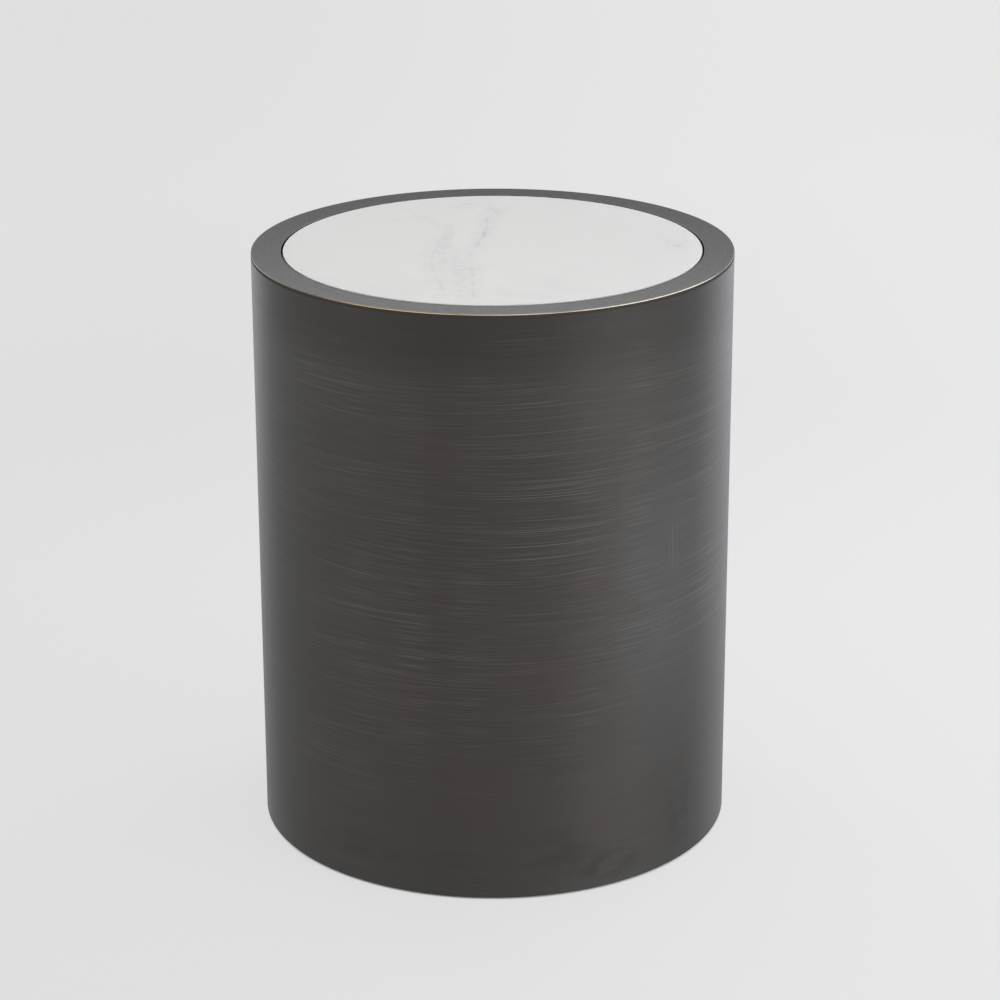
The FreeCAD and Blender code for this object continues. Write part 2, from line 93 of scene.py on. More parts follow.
class Grain(Enum):
    """How a finish's grains lie: a small share of the noise's scale draws them out that way."""

    EVEN = (1.0, 1.0, 1.0)
    LEVEL = (0.08, 0.08, 1.0)  # drawn out in the horizontal plane, as plies are
    UPRIGHT = (1.0, 1.0, 0.06)  # drawn out along the height, as drawn strip is


# ---------------------------------------------------------------------------------------------
# Colour and node helpers


def linear(hex_colour: str) -> tuple[float, float, float, float]:
    """Turn an sRGB hex colour into a linear one.

    Each channel c is c / 12.92 up to 0.04045, and ((c + 0.055) / 1.055) to the power 2.4 above.

    Args:
        hex_colour: Six hex digits after a hash sign.

    Returns:
        Linear red, green, blue and an alpha of one.
    """
    channels = np.array([int(hex_colour[i : i + 2], 16) for i in (1, 3, 5)]) / 255.0
    low = channels / 12.92
    high = ((channels + 0.055) / 1.055) ** 2.4
    red, green, blue = np.where(channels <= 0.04045, low, high)
    return float(red), float(green), float(blue), 1.0


def add_node(
    tree: Tree,
    kind: str,
    settings: Mapping[str, NodeValue] | None = None,
    inputs: Mapping[str | int, NodeValue | Socket] | None = None,
) -> bpy.types.Node:
    """Add one node, with its settings and its inputs.

    Args:
        tree: Tree that takes the node.
        kind: Blender's name of the node type.
        settings: Properties of the node itself.
        inputs: Inputs by name or number; a socket is linked and a plain value is set.

    Returns:
        The new node.
    """
    node = tree.nodes.new(kind)
    for name, value in (settings or {}).items():
        setattr(node, name, value)
    for key, value in (inputs or {}).items():
        if isinstance(value, Socket):
            tree.links.new(value, node.inputs[key])
        else:
            node.inputs[key].default_value = value
    return node


def new_material(name: str) -> Material:
    """Make an empty node material.

    Args:
        name: Its name.

    Returns:
        The material, with no node in its tree.
    """
    material = bpy.data.materials.new(name)
    material.use_nodes = True
    material.node_tree.nodes.clear()
    return material


# ---------------------------------------------------------------------------------------------
# Surfaces


@dataclass
class Surface:
    """A grid of points over two parameters, with a flat map of it in metres.

    Attributes:
        points: Rows by columns by three coordinates.
        flat: Rows by columns by two: the place on the unrolled sheet.
    """

    points: np.ndarray
    flat: np.ndarray


def arc_points(
    centre: tuple[float, float], radius: float, start: float, end: float, steps: int
) -> np.ndarray:
    """Return points of an arc in the half plane of radius and height.

    A point is the centre plus radius times (cos a, sin a), for a from start to end.

    Args:
        centre: Radius and height of the arc's centre.
        radius: Radius of the arc itself.
        start: First angle in degrees, from the outward direction.
        end: Last angle in degrees.
        steps: Number of points less one.

    Returns:
        One row of radius and height for each point.
    """
    turn = np.radians(np.linspace(start, end, steps + 1))
    return np.stack([centre[0] + radius * np.cos(turn), centre[1] + radius * np.sin(turn)], axis=1)


def line_points(start: tuple[float, float], end: tuple[float, float], steps: int) -> np.ndarray:
    """Return evenly spaced points from start to end, both of them included."""
    share = np.linspace(0.0, 1.0, steps + 1)[:, None]
    return np.asarray(start) * (1.0 - share) + np.asarray(end) * share


def front_to_back(columns: int, gap: float = 0.0) -> np.ndarray:
    """Return angles from the back round the front to the back again, less half a gap at each end."""
    return np.linspace(-math.pi + gap / 2.0, math.pi - gap / 2.0, columns + 1)


def turned(profile: np.ndarray, angles: np.ndarray, centre: tuple[float, float] = (0.0, 0.0)) -> Surface:
    """Turn a profile about an upright axis.

    A profile point (r, z) at angle a stands at (x0 + r sin a, y0 - r cos a, z), so that a is
    counted from the front towards +X. On the flat map it lies at (R a, s): R is the profile's
    largest radius and s the length along the profile, counted so that it equals the height where
    the profile first reaches R.

    Args:
        profile: Rows of radius and height.
        angles: Angles of the columns in radians.
        centre: The axis, as x and y.

    Returns:
        The turned surface.
    """
    radius, height = profile[:, 0:1], profile[:, 1:2]
    x = centre[0] + radius * np.sin(angles)
    y = centre[1] - radius * np.cos(angles)
    z = height + 0.0 * angles
    steps = np.hypot(np.diff(profile[:, 0]), np.diff(profile[:, 1]))
    length = np.concatenate([[0.0], np.cumsum(steps)])
    widest = int(np.argmax(profile[:, 0]))
    length += profile[widest, 1] - length[widest]
    across = profile[:, 0].max() * angles + 0.0 * height
    along = length[:, None] + 0.0 * angles
    return Surface(np.stack([x, y, z], axis=2), np.stack([across, along], axis=2))


def mesh_piece(name: str, surfaces: Sequence[Surface]) -> Piece:
    """Join surfaces into one closed piece at the origin.

    Point (i, j) of a surface makes a four-sided face with (i + 1, j), (i + 1, j + 1) and
    (i, j + 1). Coinciding points are merged, which closes seams and poles, and the faces are
    turned outwards.

    Args:
        name: Name of the piece.
        surfaces: The surfaces that bound it.

    Returns:
        The new object.
    """
    points, flats, quads, first = [], [], [], 0
    for surface in surfaces:
        rows, columns = surface.points.shape[:2]
        index = first + np.arange(rows * columns).reshape(rows, columns)
        corners = (index[:-1, :-1], index[1:, :-1], index[1:, 1:], index[:-1, 1:])
        quads.append(np.stack(corners, axis=2).reshape(-1, 4))
        points.append(surface.points.reshape(-1, 3))
        flats.append(surface.flat.reshape(-1, 2))
        first += rows * columns
    faces = np.concatenate(quads)
    flat = np.concatenate(flats)
    mesh = bpy.data.meshes.new(name)
    mesh.from_pydata(np.concatenate(points).tolist(), [], faces.tolist())
    mesh.uv_layers.new(name=SHEET_MAP).data.foreach_set("uv", flat[faces.ravel()].ravel())
    work = bmesh.new()
    work.from_mesh(mesh)
    bmesh.ops.remove_doubles(work, verts=work.verts, dist=MERGE_DISTANCE)
    bmesh.ops.dissolve_degenerate(work, edges=work.edges, dist=MERGE_DISTANCE / 10.0)
    bmesh.ops.recalc_face_normals(work, faces=work.faces)
    work.to_mesh(mesh)
    work.free()
    mesh.shade_smooth()
    mesh.set_sharp_from_angle(angle=SHARP_ANGLE)
    piece = bpy.data.objects.new(name, mesh)
    bpy.context.scene.collection.objects.link(piece)
    return piece


def dress(piece: Piece, material: Material) -> None:
    """Give a piece one material on all its faces."""
    piece.data.materials.clear()
    piece.data.materials.append(material)


def stand_in(piece: Piece, node: str, body: str, material: Material) -> None:
    """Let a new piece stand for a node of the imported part.

    Args:
        piece: The new piece.
        node: Node that it replaces.
        body: Body that it rides on.
        material: Its finish.
    """
    dress(piece, material)
    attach(piece, body)
    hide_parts(node)
    log.info("%s stands for %s, on %s: %d faces", piece.name, node, body, len(piece.data.polygons))


# ---------------------------------------------------------------------------------------------
# Marks on the sheet


@dataclass(frozen=True)
class Patch:
    """A soft-edged place on the unrolled sheet.

    Attributes:
        across: Distance from the front line, towards +X.
        height: Height over the floor.
        half_width: Half its width.
        half_height: Half its height.
        strength: How strong its middle is, from 0 to 1.
        core: Distance from the middle where it starts to fade, in half widths and half heights.
        rim: Distance from the middle where it has faded out.
    """

    across: float
    height: float
    half_width: float
    half_height: float
    strength: float
    core: float = 0.15
    rim: float = 1.25

    def cover(self, tree: Tree, sheet: Socket) -> Socket:
        """Return the patch's cover: its strength in the middle, and none past its rim.

        Args:
            tree: Tree of the material.
            sheet: Place on the unrolled sheet, in metres.

        Returns:
            A factor that falls as the distance grows, counted in half widths and half heights.
        """
        size = (1.0 / self.half_width, 1.0 / self.half_height, 0.0)
        shift = (-self.across / self.half_width, -self.height / self.half_height, 0.0)
        centring = {"Vector": sheet, "Location": shift, "Scale": size}
        centred = add_node(tree, "ShaderNodeMapping", {}, centring)
        far = add_node(tree, "ShaderNodeVectorMath", LENGTH, {0: centred.outputs[0]})
        fade = {"Value": far.outputs["Value"], "From Min": self.rim, "From Max": self.core}
        fade["To Max"] = self.strength
        return add_node(tree, "ShaderNodeMapRange", SMOOTH, fade).outputs[0]


@dataclass(frozen=True)
class Strokes:
    """Strokes all over the unrolled sheet: noise drawn out to their size.

    Attributes:
        length: Size of one stroke round the drum.
        height: Size of one stroke up the drum.
        seed: Shift that sets these strokes apart from the others.
        detail: Octaves of finer noise.
        start: Noise at which the cover starts to grow.
        full: Noise at which it has grown.
        least: Cover at the start.
        most: Cover when it has grown.
    """

    length: float
    height: float
    seed: float
    detail: float = 0.0
    start: float = 0.0
    full: float = 1.0
    least: float = 0.0
    most: float = 1.0

    def noise(self, tree: Tree, place: Socket) -> Socket:
        """Return the strokes' noise.

        Args:
            tree: Tree of the material.
            place: Place on the unrolled sheet, in metres.

        Returns:
            A factor from 0 to 1, mostly near 0.5.
        """
        shift = (self.seed, self.seed * 1.7, 0.0)
        size = (1.0 / self.length, 1.0 / self.height, 1.0)
        drawing = {"Vector": place, "Location": shift, "Scale": size}
        drawn = add_node(tree, "ShaderNodeMapping", {}, drawing).outputs[0]
        grain = {"Vector": drawn, "Scale": 1.0, "Detail": self.detail, "Roughness": 0.55}
        return add_node(tree, "ShaderNodeTexNoise", {"noise_dimensions": "2D"}, grain).outputs[0]

    def cover(self, tree: Tree, place: Socket) -> Socket:
        """Return the strokes' cover, which eases from the least to the most as the noise grows.

        Args:
            tree: Tree of the material.
            place: Place on the unrolled sheet, in metres.

        Returns:
            A factor from the least to the most.
        """
        growth = {"Value": self.noise(tree, place), "From Min": self.start, "From Max": self.full}
        growth |= {"To Min": self.least, "To Max": self.most}
        return add_node(tree, "ShaderNodeMapRange", SMOOTH, growth).outputs[0]


@dataclass(frozen=True)
class Band:
    """A level band round the drum, soft above and below.

    Attributes:
        middle: Height of its middle on the sheet.
        reach: Distance from the middle at which it has faded out.
        strength: Its cover in the middle.
        core: Share of the reach that has the full cover.
    """

    middle: float
    reach: float
    strength: float
    core: float = 0.4

    def cover(self, tree: Tree, sheet: Socket) -> Socket:
        """Return the band's cover.

        Args:
            tree: Tree of the material.
            sheet: Place on the unrolled sheet, in metres.

        Returns:
            A factor that falls from the strength to 0 as the distance grows to the reach.
        """
        up = add_node(tree, "ShaderNodeSeparateXYZ", {}, {0: sheet}).outputs[1]
        off = add_node(tree, "ShaderNodeMath", SUBTRACT, {0: up, 1: self.middle}).outputs[0]
        size = add_node(tree, "ShaderNodeMath", ABSOLUTE, {0: off}).outputs[0]
        fade = {"Value": size, "From Min": self.reach, "From Max": self.core * self.reach}
        fade["To Max"] = self.strength
        return add_node(tree, "ShaderNodeMapRange", SMOOTH, fade).outputs[0]


@dataclass(frozen=True)
class Fade:
    """A cover that eases from its least at one height on the sheet to 1 at another.

    Attributes:
        start: Height at which it is least.
        end: Height at which it is 1.
        least: Cover at the start.
    """

    start: float
    end: float
    least: float = 0.0

    def cover(self, tree: Tree, sheet: Socket) -> Socket:
        """Return the cover at a place.

        Args:
            tree: Tree of the material.
            sheet: Place on the unrolled sheet, in metres.

        Returns:
            A factor from the least to 1.
        """
        up = add_node(tree, "ShaderNodeSeparateXYZ", {}, {0: sheet}).outputs[1]
        ease = {"Value": up, "From Min": self.start, "From Max": self.end, "To Min": self.least}
        return add_node(tree, "ShaderNodeMapRange", SMOOTH, ease).outputs[0]


Mark = Patch | Strokes | Band


def strongest(tree: Tree, sheet: Socket, marks: Sequence[Mark]) -> Socket:
    """Return the strongest cover of several marks.

    Args:
        tree: Tree of the material.
        sheet: Place on the unrolled sheet, in metres.
        marks: The marks.

    Returns:
        The largest of their factors.
    """
    total = marks[0].cover(tree, sheet)
    for mark in marks[1:]:
        pair = {0: total, 1: mark.cover(tree, sheet)}
        total = add_node(tree, "ShaderNodeMath", MAXIMUM, pair).outputs[0]
    return total


def torn(tree: Tree, sheet: Socket, marks: Sequence[Mark], strokes: Strokes) -> Socket:
    """Return the strongest cover of several marks, torn up by strokes."""
    pair = {0: strongest(tree, sheet, marks), 1: strokes.cover(tree, sheet)}
    return add_node(tree, "ShaderNodeMath", MULTIPLY, pair).outputs[0]


# ---------------------------------------------------------------------------------------------
# Finishes


@dataclass(frozen=True)
class PatinatedBrass:
    """Brass-plated sheet, blackened with patina, brushed round the drum by hand and waxed.

    The eye gets a soft dark metal: fine level brush lines, groups of long pale scratches that
    wander a little, brown clouds where the patina is thin, a smoother and cooler rim face, and a
    hairline of bare brass along the rim's worn arrises. Painted light makes a lighter band down the
    right side, and painted shade darkens the top of the drum and the rim. The brushing spreads a
    reflection up and down and keeps it narrow round the drum, so the light lies on it in upright
    bands. A real brush line is 0.1 to 0.3 mm wide; it is drawn 0.7 or 0.8 mm wide, the narrowest
    that shows.

    Attributes:
        name: The real material and how its surface was made.
        dark: Patina where it is deepest.
        light: Patina where the brush took most of it off.
        painted_light_right_colour: Painted light: a lighter patina colour down the right side, where the
            light falls.
        painted_rim_shade_colour: Painted shade: the darker colour along the top of the drum, just under the
            rim, and on the rim.
        rim_face: Patina of the rim's face.
        brown: Colour of the brown clouds.
        stain: Colour of the stains near the foot.
        scratch: Colour of a scratch.
        brass: Bare metal on the arrises.
        gold: Bare metal where it is gilded.
        burnt: Colour of the brown line below the outer arris.
        edge_tint: How much is mirrored at a flat angle, where waxed patina stays darker.
        roughness: Middle of the sheet's roughness.
        roughness_sway: How far the brush lines move it up and down.
        rim_roughness: Middle of the roughness of the rim's face.
        rim_roughness_sway: How far the rim's marks move it up and down.
        worn_roughness: Roughness of the bare metal.
        drawn_out: How far the brushing draws reflections out, from 0 to 1.
        brush_turn: Turn of the drawn-out reflections on the sheet, in full turns.
        groove_depth: Depth of the brush lines in the bump.
        groove_strength: Strength of that bump.
    """

    name: str = "patinated_brass_hand_brushed"
    dark: str = "#42413f"
    light: str = "#494846"
    painted_light_right_colour: str = "#51504f"
    painted_rim_shade_colour: str = "#343331"
    rim_face: str = "#323233"
    brown: str = "#4b4340"
    stain: str = "#373533"
    scratch: str = "#86837e"
    brass: str = "#c9c1b0"
    gold: str = "#b8a680"
    burnt: str = "#352c25"
    edge_tint: str = "#ffffff"
    roughness: float = 0.60
    roughness_sway: float = 0.04
    rim_roughness: float = 0.42
    rim_roughness_sway: float = 0.05
    worn_roughness: float = 0.46
    drawn_out: float = 0.8
    brush_turn: float = 0.25
    groove_depth: float = 0.12 * MM
    groove_strength: float = 0.15

    # The patina's depth: fine brush lines and broad strokes, which the hand's drift moves up and
    # down, and clouds.
    brush_lines: Strokes = Strokes(80 * MM, 0.8 * MM, 29.0, 2.0)
    broad_strokes: Strokes = Strokes(170 * MM, 7 * MM, 43.0, 2.0)
    patina_clouds: Strokes = Strokes(240 * MM, 90 * MM, 17.0, 3.0)
    drift: Strokes = Strokes(210 * MM, 90 * MM, 3.1)
    drift_reach: float = 5.0 * MM

    # Brown clouds, ragged along the brushing, with stray ones all round.
    browned: tuple[Patch, ...] = (
        Patch(-42 * MM, 392 * MM, 46 * MM, 44 * MM, 0.62),
        Patch(-50 * MM, 322 * MM, 24 * MM, 14 * MM, 0.40),
        Patch(-47 * MM, 266 * MM, 42 * MM, 26 * MM, 0.60),
        Patch(80 * MM, 270 * MM, 18 * MM, 15 * MM, 0.85),
        Patch(118 * MM, 246 * MM, 16 * MM, 9 * MM, 0.60),
        Patch(30 * MM, 190 * MM, 70 * MM, 46 * MM, 0.60),
        Patch(62 * MM, 214 * MM, 44 * MM, 14 * MM, 0.50),
        Patch(-70 * MM, 180 * MM, 46 * MM, 62 * MM, 0.50),
        Patch(88 * MM, 62 * MM, 30 * MM, 24 * MM, 0.55),
        Patch(-18 * MM, 96 * MM, 70 * MM, 62 * MM, 0.65),
    )
    stray_brown: Strokes = Strokes(95 * MM, 36 * MM, 5.7, 3.0, 0.58, 0.78, most=0.45)
    ragged_brown: Strokes = Strokes(70 * MM, 2.4 * MM, 51.3, 3.0, 0.32, 0.60, 0.22, 1.15)

    # Painted light: a lighter band down the right side, where the light falls; and the dark stains near the
    # foot, with their mottle.
    painted_light_right_patch: Patch = Patch(160 * MM, 250 * MM, 72 * MM, 165 * MM, 0.9)
    stained: tuple[Patch, ...] = (
        Patch(96 * MM, 22 * MM, 34 * MM, 16 * MM, 0.60),
        Patch(178 * MM, 48 * MM, 26 * MM, 44 * MM, 0.30),
        Patch(58 * MM, 34 * MM, 34 * MM, 30 * MM, 0.35),
        Patch(-120 * MM, 34 * MM, 60 * MM, 16 * MM, 0.25),
    )
    mottle: Strokes = Strokes(26 * MM, 17 * MM, 83.1, 4.0, 0.34, 0.62)

    # Pale scratches: lone and fine ones where the sheet is brushed, a quarter of them elsewhere,
    # fewer near the foot and under the rim, and a few that cross the brushing.
    lone_scratches: Strokes = Strokes(170 * MM, 0.7 * MM, 11.3, 0.0, 0.70, 0.86, most=0.34)
    fine_scratches: Strokes = Strokes(48 * MM, 0.8 * MM, 23.9, 0.0, 0.56, 0.84, most=0.14)
    brushed: tuple[Patch, ...] = (
        Patch(70 * MM, 320 * MM, 150 * MM, 120 * MM, 0.75),
        Patch(100 * MM, 96 * MM, 50 * MM, 26 * MM, 0.50),
        Patch(-60 * MM, 230 * MM, 76 * MM, 160 * MM, 1.0),
        Patch(125 * MM, 240 * MM, 60 * MM, 70 * MM, 1.0),
    )
    stray_brushed: Strokes = Strokes(130 * MM, 45 * MM, 37.7, 1.0, 0.44, 0.70, most=0.8)
    unbrushed_share: float = 0.25
    above_foot: Fade = Fade(40 * MM, 200 * MM, 0.15)
    below_rim: Fade = Fade(496 * MM, 425 * MM, 0.3)
    crossed: tuple[Patch, ...] = (
        Patch(166 * MM, 286 * MM, 14 * MM, 50 * MM, 0.13),
        Patch(150 * MM, 214 * MM, 16 * MM, 26 * MM, 0.10),
    )
    crossing: Strokes = Strokes(1.1 * MM, 55 * MM, 61.9, 0.0, 0.52, 0.72)

    # The rim: on the sheet its face runs on above 500 mm, from the outer arris to the inner one.
    # Both are rubbed bare, fully from half a touch up, at the front, and a fifth as much where
    # nobody touches the table.
    # Painted shade: a band that darkens the top of the drum and the rim, about 500 mm up the sheet.
    painted_rim_shade: Band = Band(500 * MM, 66 * MM, 0.35)
    rim_start: Fade = Fade(499.6 * MM, 501.0 * MM)
    rim_face_cover: float = 0.8
    rim_marks: Strokes = Strokes(26 * MM, 1.8 * MM, 91.7, 2.0)
    outer_arris: Band = Band(499.83 * MM, 0.60 * MM, 1.0)
    inner_arris: Band = Band(524.55 * MM, 0.5 * MM, 0.2)
    burnt_line: Band = Band(497.93 * MM, 1.7 * MM, 0.55)
    gaps: Strokes = Strokes(42 * MM, 400 * MM, 71.1, 3.0, 0.25, 0.52, least=0.6)
    gilded: Patch = Patch(-105 * MM, 500 * MM, 125 * MM, 60 * MM, 1.0)
    touched: Patch = Patch(40 * MM, 500 * MM, 185 * MM, 90 * MM, 1.0)
    touched_enough: float = 0.5
    untouched_share: float = 0.2

    def by_hand(self, tree: Tree, sheet: Socket) -> Socket:
        """Return the place on the sheet, raised and lowered by some millimetres as a hand moves.

        Args:
            tree: Tree of the material.
            sheet: Place on the unrolled sheet, in metres.

        Returns:
            The moved place.
        """
        reach = {"To Min": -self.drift_reach, "To Max": self.drift_reach}
        lifting = {"Value": self.drift.noise(tree, sheet), **reach}
        lift = add_node(tree, "ShaderNodeMapRange", {}, lifting).outputs[0]
        shift = add_node(tree, "ShaderNodeCombineXYZ", {}, {"Y": lift}).outputs[0]
        return add_node(tree, "ShaderNodeVectorMath", ADD, {0: sheet, 1: shift}).outputs[0]

    def tone(self, tree: Tree, sheet: Socket, hand: Socket) -> Socket:
        """Return the patina's depth: half brush lines, a quarter broad strokes, a quarter clouds.

        Args:
            tree: Tree of the material.
            sheet: Place on the unrolled sheet, in metres.
            hand: That place, moved as the hand moves.

        Returns:
            A factor from 0 to 1, mostly near 0.5.
        """
        lines = self.brush_lines.noise(tree, hand)
        broad = self.broad_strokes.noise(tree, hand)
        clouds = self.patina_clouds.noise(tree, sheet)
        soft = add_node(tree, "ShaderNodeMix", {}, {0: 0.5, 2: broad, 3: clouds}).outputs[0]
        return add_node(tree, "ShaderNodeMix", {}, {0: 0.5, 2: soft, 3: lines}).outputs[0]

    def scratches(self, tree: Tree, sheet: Socket, hand: Socket) -> Socket:
        """Return the cover of the pale scratches.

        Args:
            tree: Tree of the material.
            sheet: Place on the unrolled sheet, in metres.
            hand: That place, moved as the hand moves.

        Returns:
            A factor from 0 to 1.
        """
        brushed = strongest(tree, sheet, (self.stray_brushed, *self.brushed))
        share = {"Value": brushed, "To Min": self.unbrushed_share}
        level = self.above_foot.cover(tree, sheet)
        for factor in (
            self.below_rim.cover(tree, sheet),
            add_node(tree, "ShaderNodeMapRange", {}, share).outputs[0],
            strongest(tree, hand, (self.lone_scratches, self.fine_scratches)),
        ):
            level = add_node(tree, "ShaderNodeMath", MULTIPLY, {0: level, 1: factor}).outputs[0]
        both = {0: level, 1: torn(tree, sheet, self.crossed, self.crossing)}
        return add_node(tree, "ShaderNodeMath", MAXIMUM, both).outputs[0]

    def worn(self, tree: Tree, sheet: Socket) -> Socket:
        """Return the cover of bare brass: a broken line on the outer arris, a faint one inside.

        Args:
            tree: Tree of the material.
            sheet: Place on the unrolled sheet, in metres.

        Returns:
            A factor from 0 to 1, strongest at the front.
        """
        use = {"Value": self.touched.cover(tree, sheet), "From Max": self.touched_enough}
        use["To Min"] = self.untouched_share
        front = add_node(tree, "ShaderNodeMapRange", SMOOTH, use).outputs[0]
        line = torn(tree, sheet, (self.outer_arris, self.inner_arris), self.gaps)
        return add_node(tree, "ShaderNodeMath", MULTIPLY, {0: line, 1: front}).outputs[0]

    def brushed_roughness(self, tree: Tree, noise: Socket, middle: float, sway: float) -> Socket:
        """Return a roughness that follows the brush marks.

        Args:
            tree: Tree of the material.
            noise: Noise of the marks.
            middle: Middle of the roughness.
            sway: How far it goes up and down.

        Returns:
            The roughness.
        """
        span = {"To Min": middle - sway, "To Max": middle + sway}
        return add_node(tree, "ShaderNodeMapRange", {}, {"Value": noise, **MOST_NOISE, **span}).outputs[0]

    def colour(self, tree: Tree, sheet: Socket, hand: Socket, tone: Socket, worn: Socket) -> Socket:
        """Lay the coats over one another: patina, painted shade under the rim, painted light down the right
        side, clouds, stains, scratches, rim and bare brass.

        Args:
            tree: Tree of the material.
            sheet: Place on the unrolled sheet, in metres.
            hand: That place, moved as the hand moves.
            tone: Depth of the patina.
            worn: Cover of the bare brass.

        Returns:
            The colour of the metal.
        """
        depth = add_node(tree, "ShaderNodeMapRange", SMOOTH, {"Value": tone, **MOST_NOISE})
        patina = {0: depth.outputs[0], 6: linear(self.dark), 7: linear(self.light)}
        colour = add_node(tree, "ShaderNodeMix", COLOURS, patina).outputs[2]
        gilding = {0: self.gilded.cover(tree, sheet), 6: linear(self.brass), 7: linear(self.gold)}
        face = {0: self.rim_start.cover(tree, sheet), 1: self.rim_face_cover}
        coats = (
            # Painted shade along the top of the drum and on the rim.
            (self.painted_rim_shade.cover(tree, sheet), linear(self.painted_rim_shade_colour)),
            # Painted light: a lighter band down the right side.
            (self.painted_light_right_patch.cover(tree, sheet), linear(self.painted_light_right_colour)),
            (torn(tree, sheet, (*self.browned, self.stray_brown), self.ragged_brown), linear(self.brown)),
            (torn(tree, sheet, self.stained, self.mottle), linear(self.stain)),
            (self.scratches(tree, sheet, hand), linear(self.scratch)),
            (add_node(tree, "ShaderNodeMath", MULTIPLY, face).outputs[0], linear(self.rim_face)),
            (self.burnt_line.cover(tree, sheet), linear(self.burnt)),
            (worn, add_node(tree, "ShaderNodeMix", COLOURS, gilding).outputs[2]),
        )
        for cover, over in coats:
            colour = add_node(tree, "ShaderNodeMix", COLOURS, {0: cover, 6: colour, 7: over}).outputs[2]
        return colour

    def material(self) -> Material:
        """Build the material.

        Returns:
            The finished node material.
        """
        material = new_material(self.name)
        tree = material.node_tree
        sheet = add_node(tree, "ShaderNodeUVMap", {"uv_map": SHEET_MAP}).outputs[0]
        hand = self.by_hand(tree, sheet)
        tone = self.tone(tree, sheet, hand)
        worn = self.worn(tree, sheet)
        marks = self.rim_marks.noise(tree, sheet)
        rough = self.brushed_roughness(tree, tone, self.roughness, self.roughness_sway)
        face = self.brushed_roughness(tree, marks, self.rim_roughness, self.rim_roughness_sway)
        for cover, value in ((self.rim_start.cover(tree, sheet), face), (worn, self.worn_roughness)):
            rough = add_node(tree, "ShaderNodeMix", {}, {0: cover, 2: rough, 3: value}).outputs[0]
        relief = {"Strength": self.groove_strength, "Distance": self.groove_depth, "Height": tone}
        grooves = add_node(tree, "ShaderNodeBump", {}, relief)
        along_sheet = {"direction_type": "UV_MAP", "uv_map": SHEET_MAP}
        metal = {
            "Base Color": self.colour(tree, sheet, hand, tone, worn),
            "Metallic": 1.0,
            "Roughness": rough,
            "Normal": grooves.outputs[0],
            "Specular Tint": linear(self.edge_tint),
            "Anisotropic": self.drawn_out,
            "Anisotropic Rotation": self.brush_turn,
            "Tangent": add_node(tree, "ShaderNodeTangent", along_sheet).outputs[0],
        }
        shader = add_node(tree, "ShaderNodeBsdfPrincipled", {}, metal)
        add_node(tree, "ShaderNodeOutputMaterial", {}, {"Surface": shader.outputs[0]})
        return material


SHELL_PATINA = PatinatedBrass()
# The rim is smooth plate under more wax, which keeps it darker when seen from low down.
RIM_PATINA = PatinatedBrass(
    "patinated_brass_rim_waxed", edge_tint="#d7d7d7", rim_roughness=0.30, drawn_out=0.0
)


@dataclass(frozen=True)
class Vein:
    """One grey vein in the stone, as a line whose cross place follows its long place.

    Attributes:
        runs_across: True where the long direction is X, and False where it is Y.
        width: Half width of the vein.
        softness: How far the vein wanders and frays.
        line: Long place, cross place and strength, for points along the vein, in millimetres.
        halo: Strength of the haze beside it.
    """

    runs_across: bool
    width: float
    softness: float
    line: tuple[tuple[float, float, float], ...]
    halo: float = 0.0


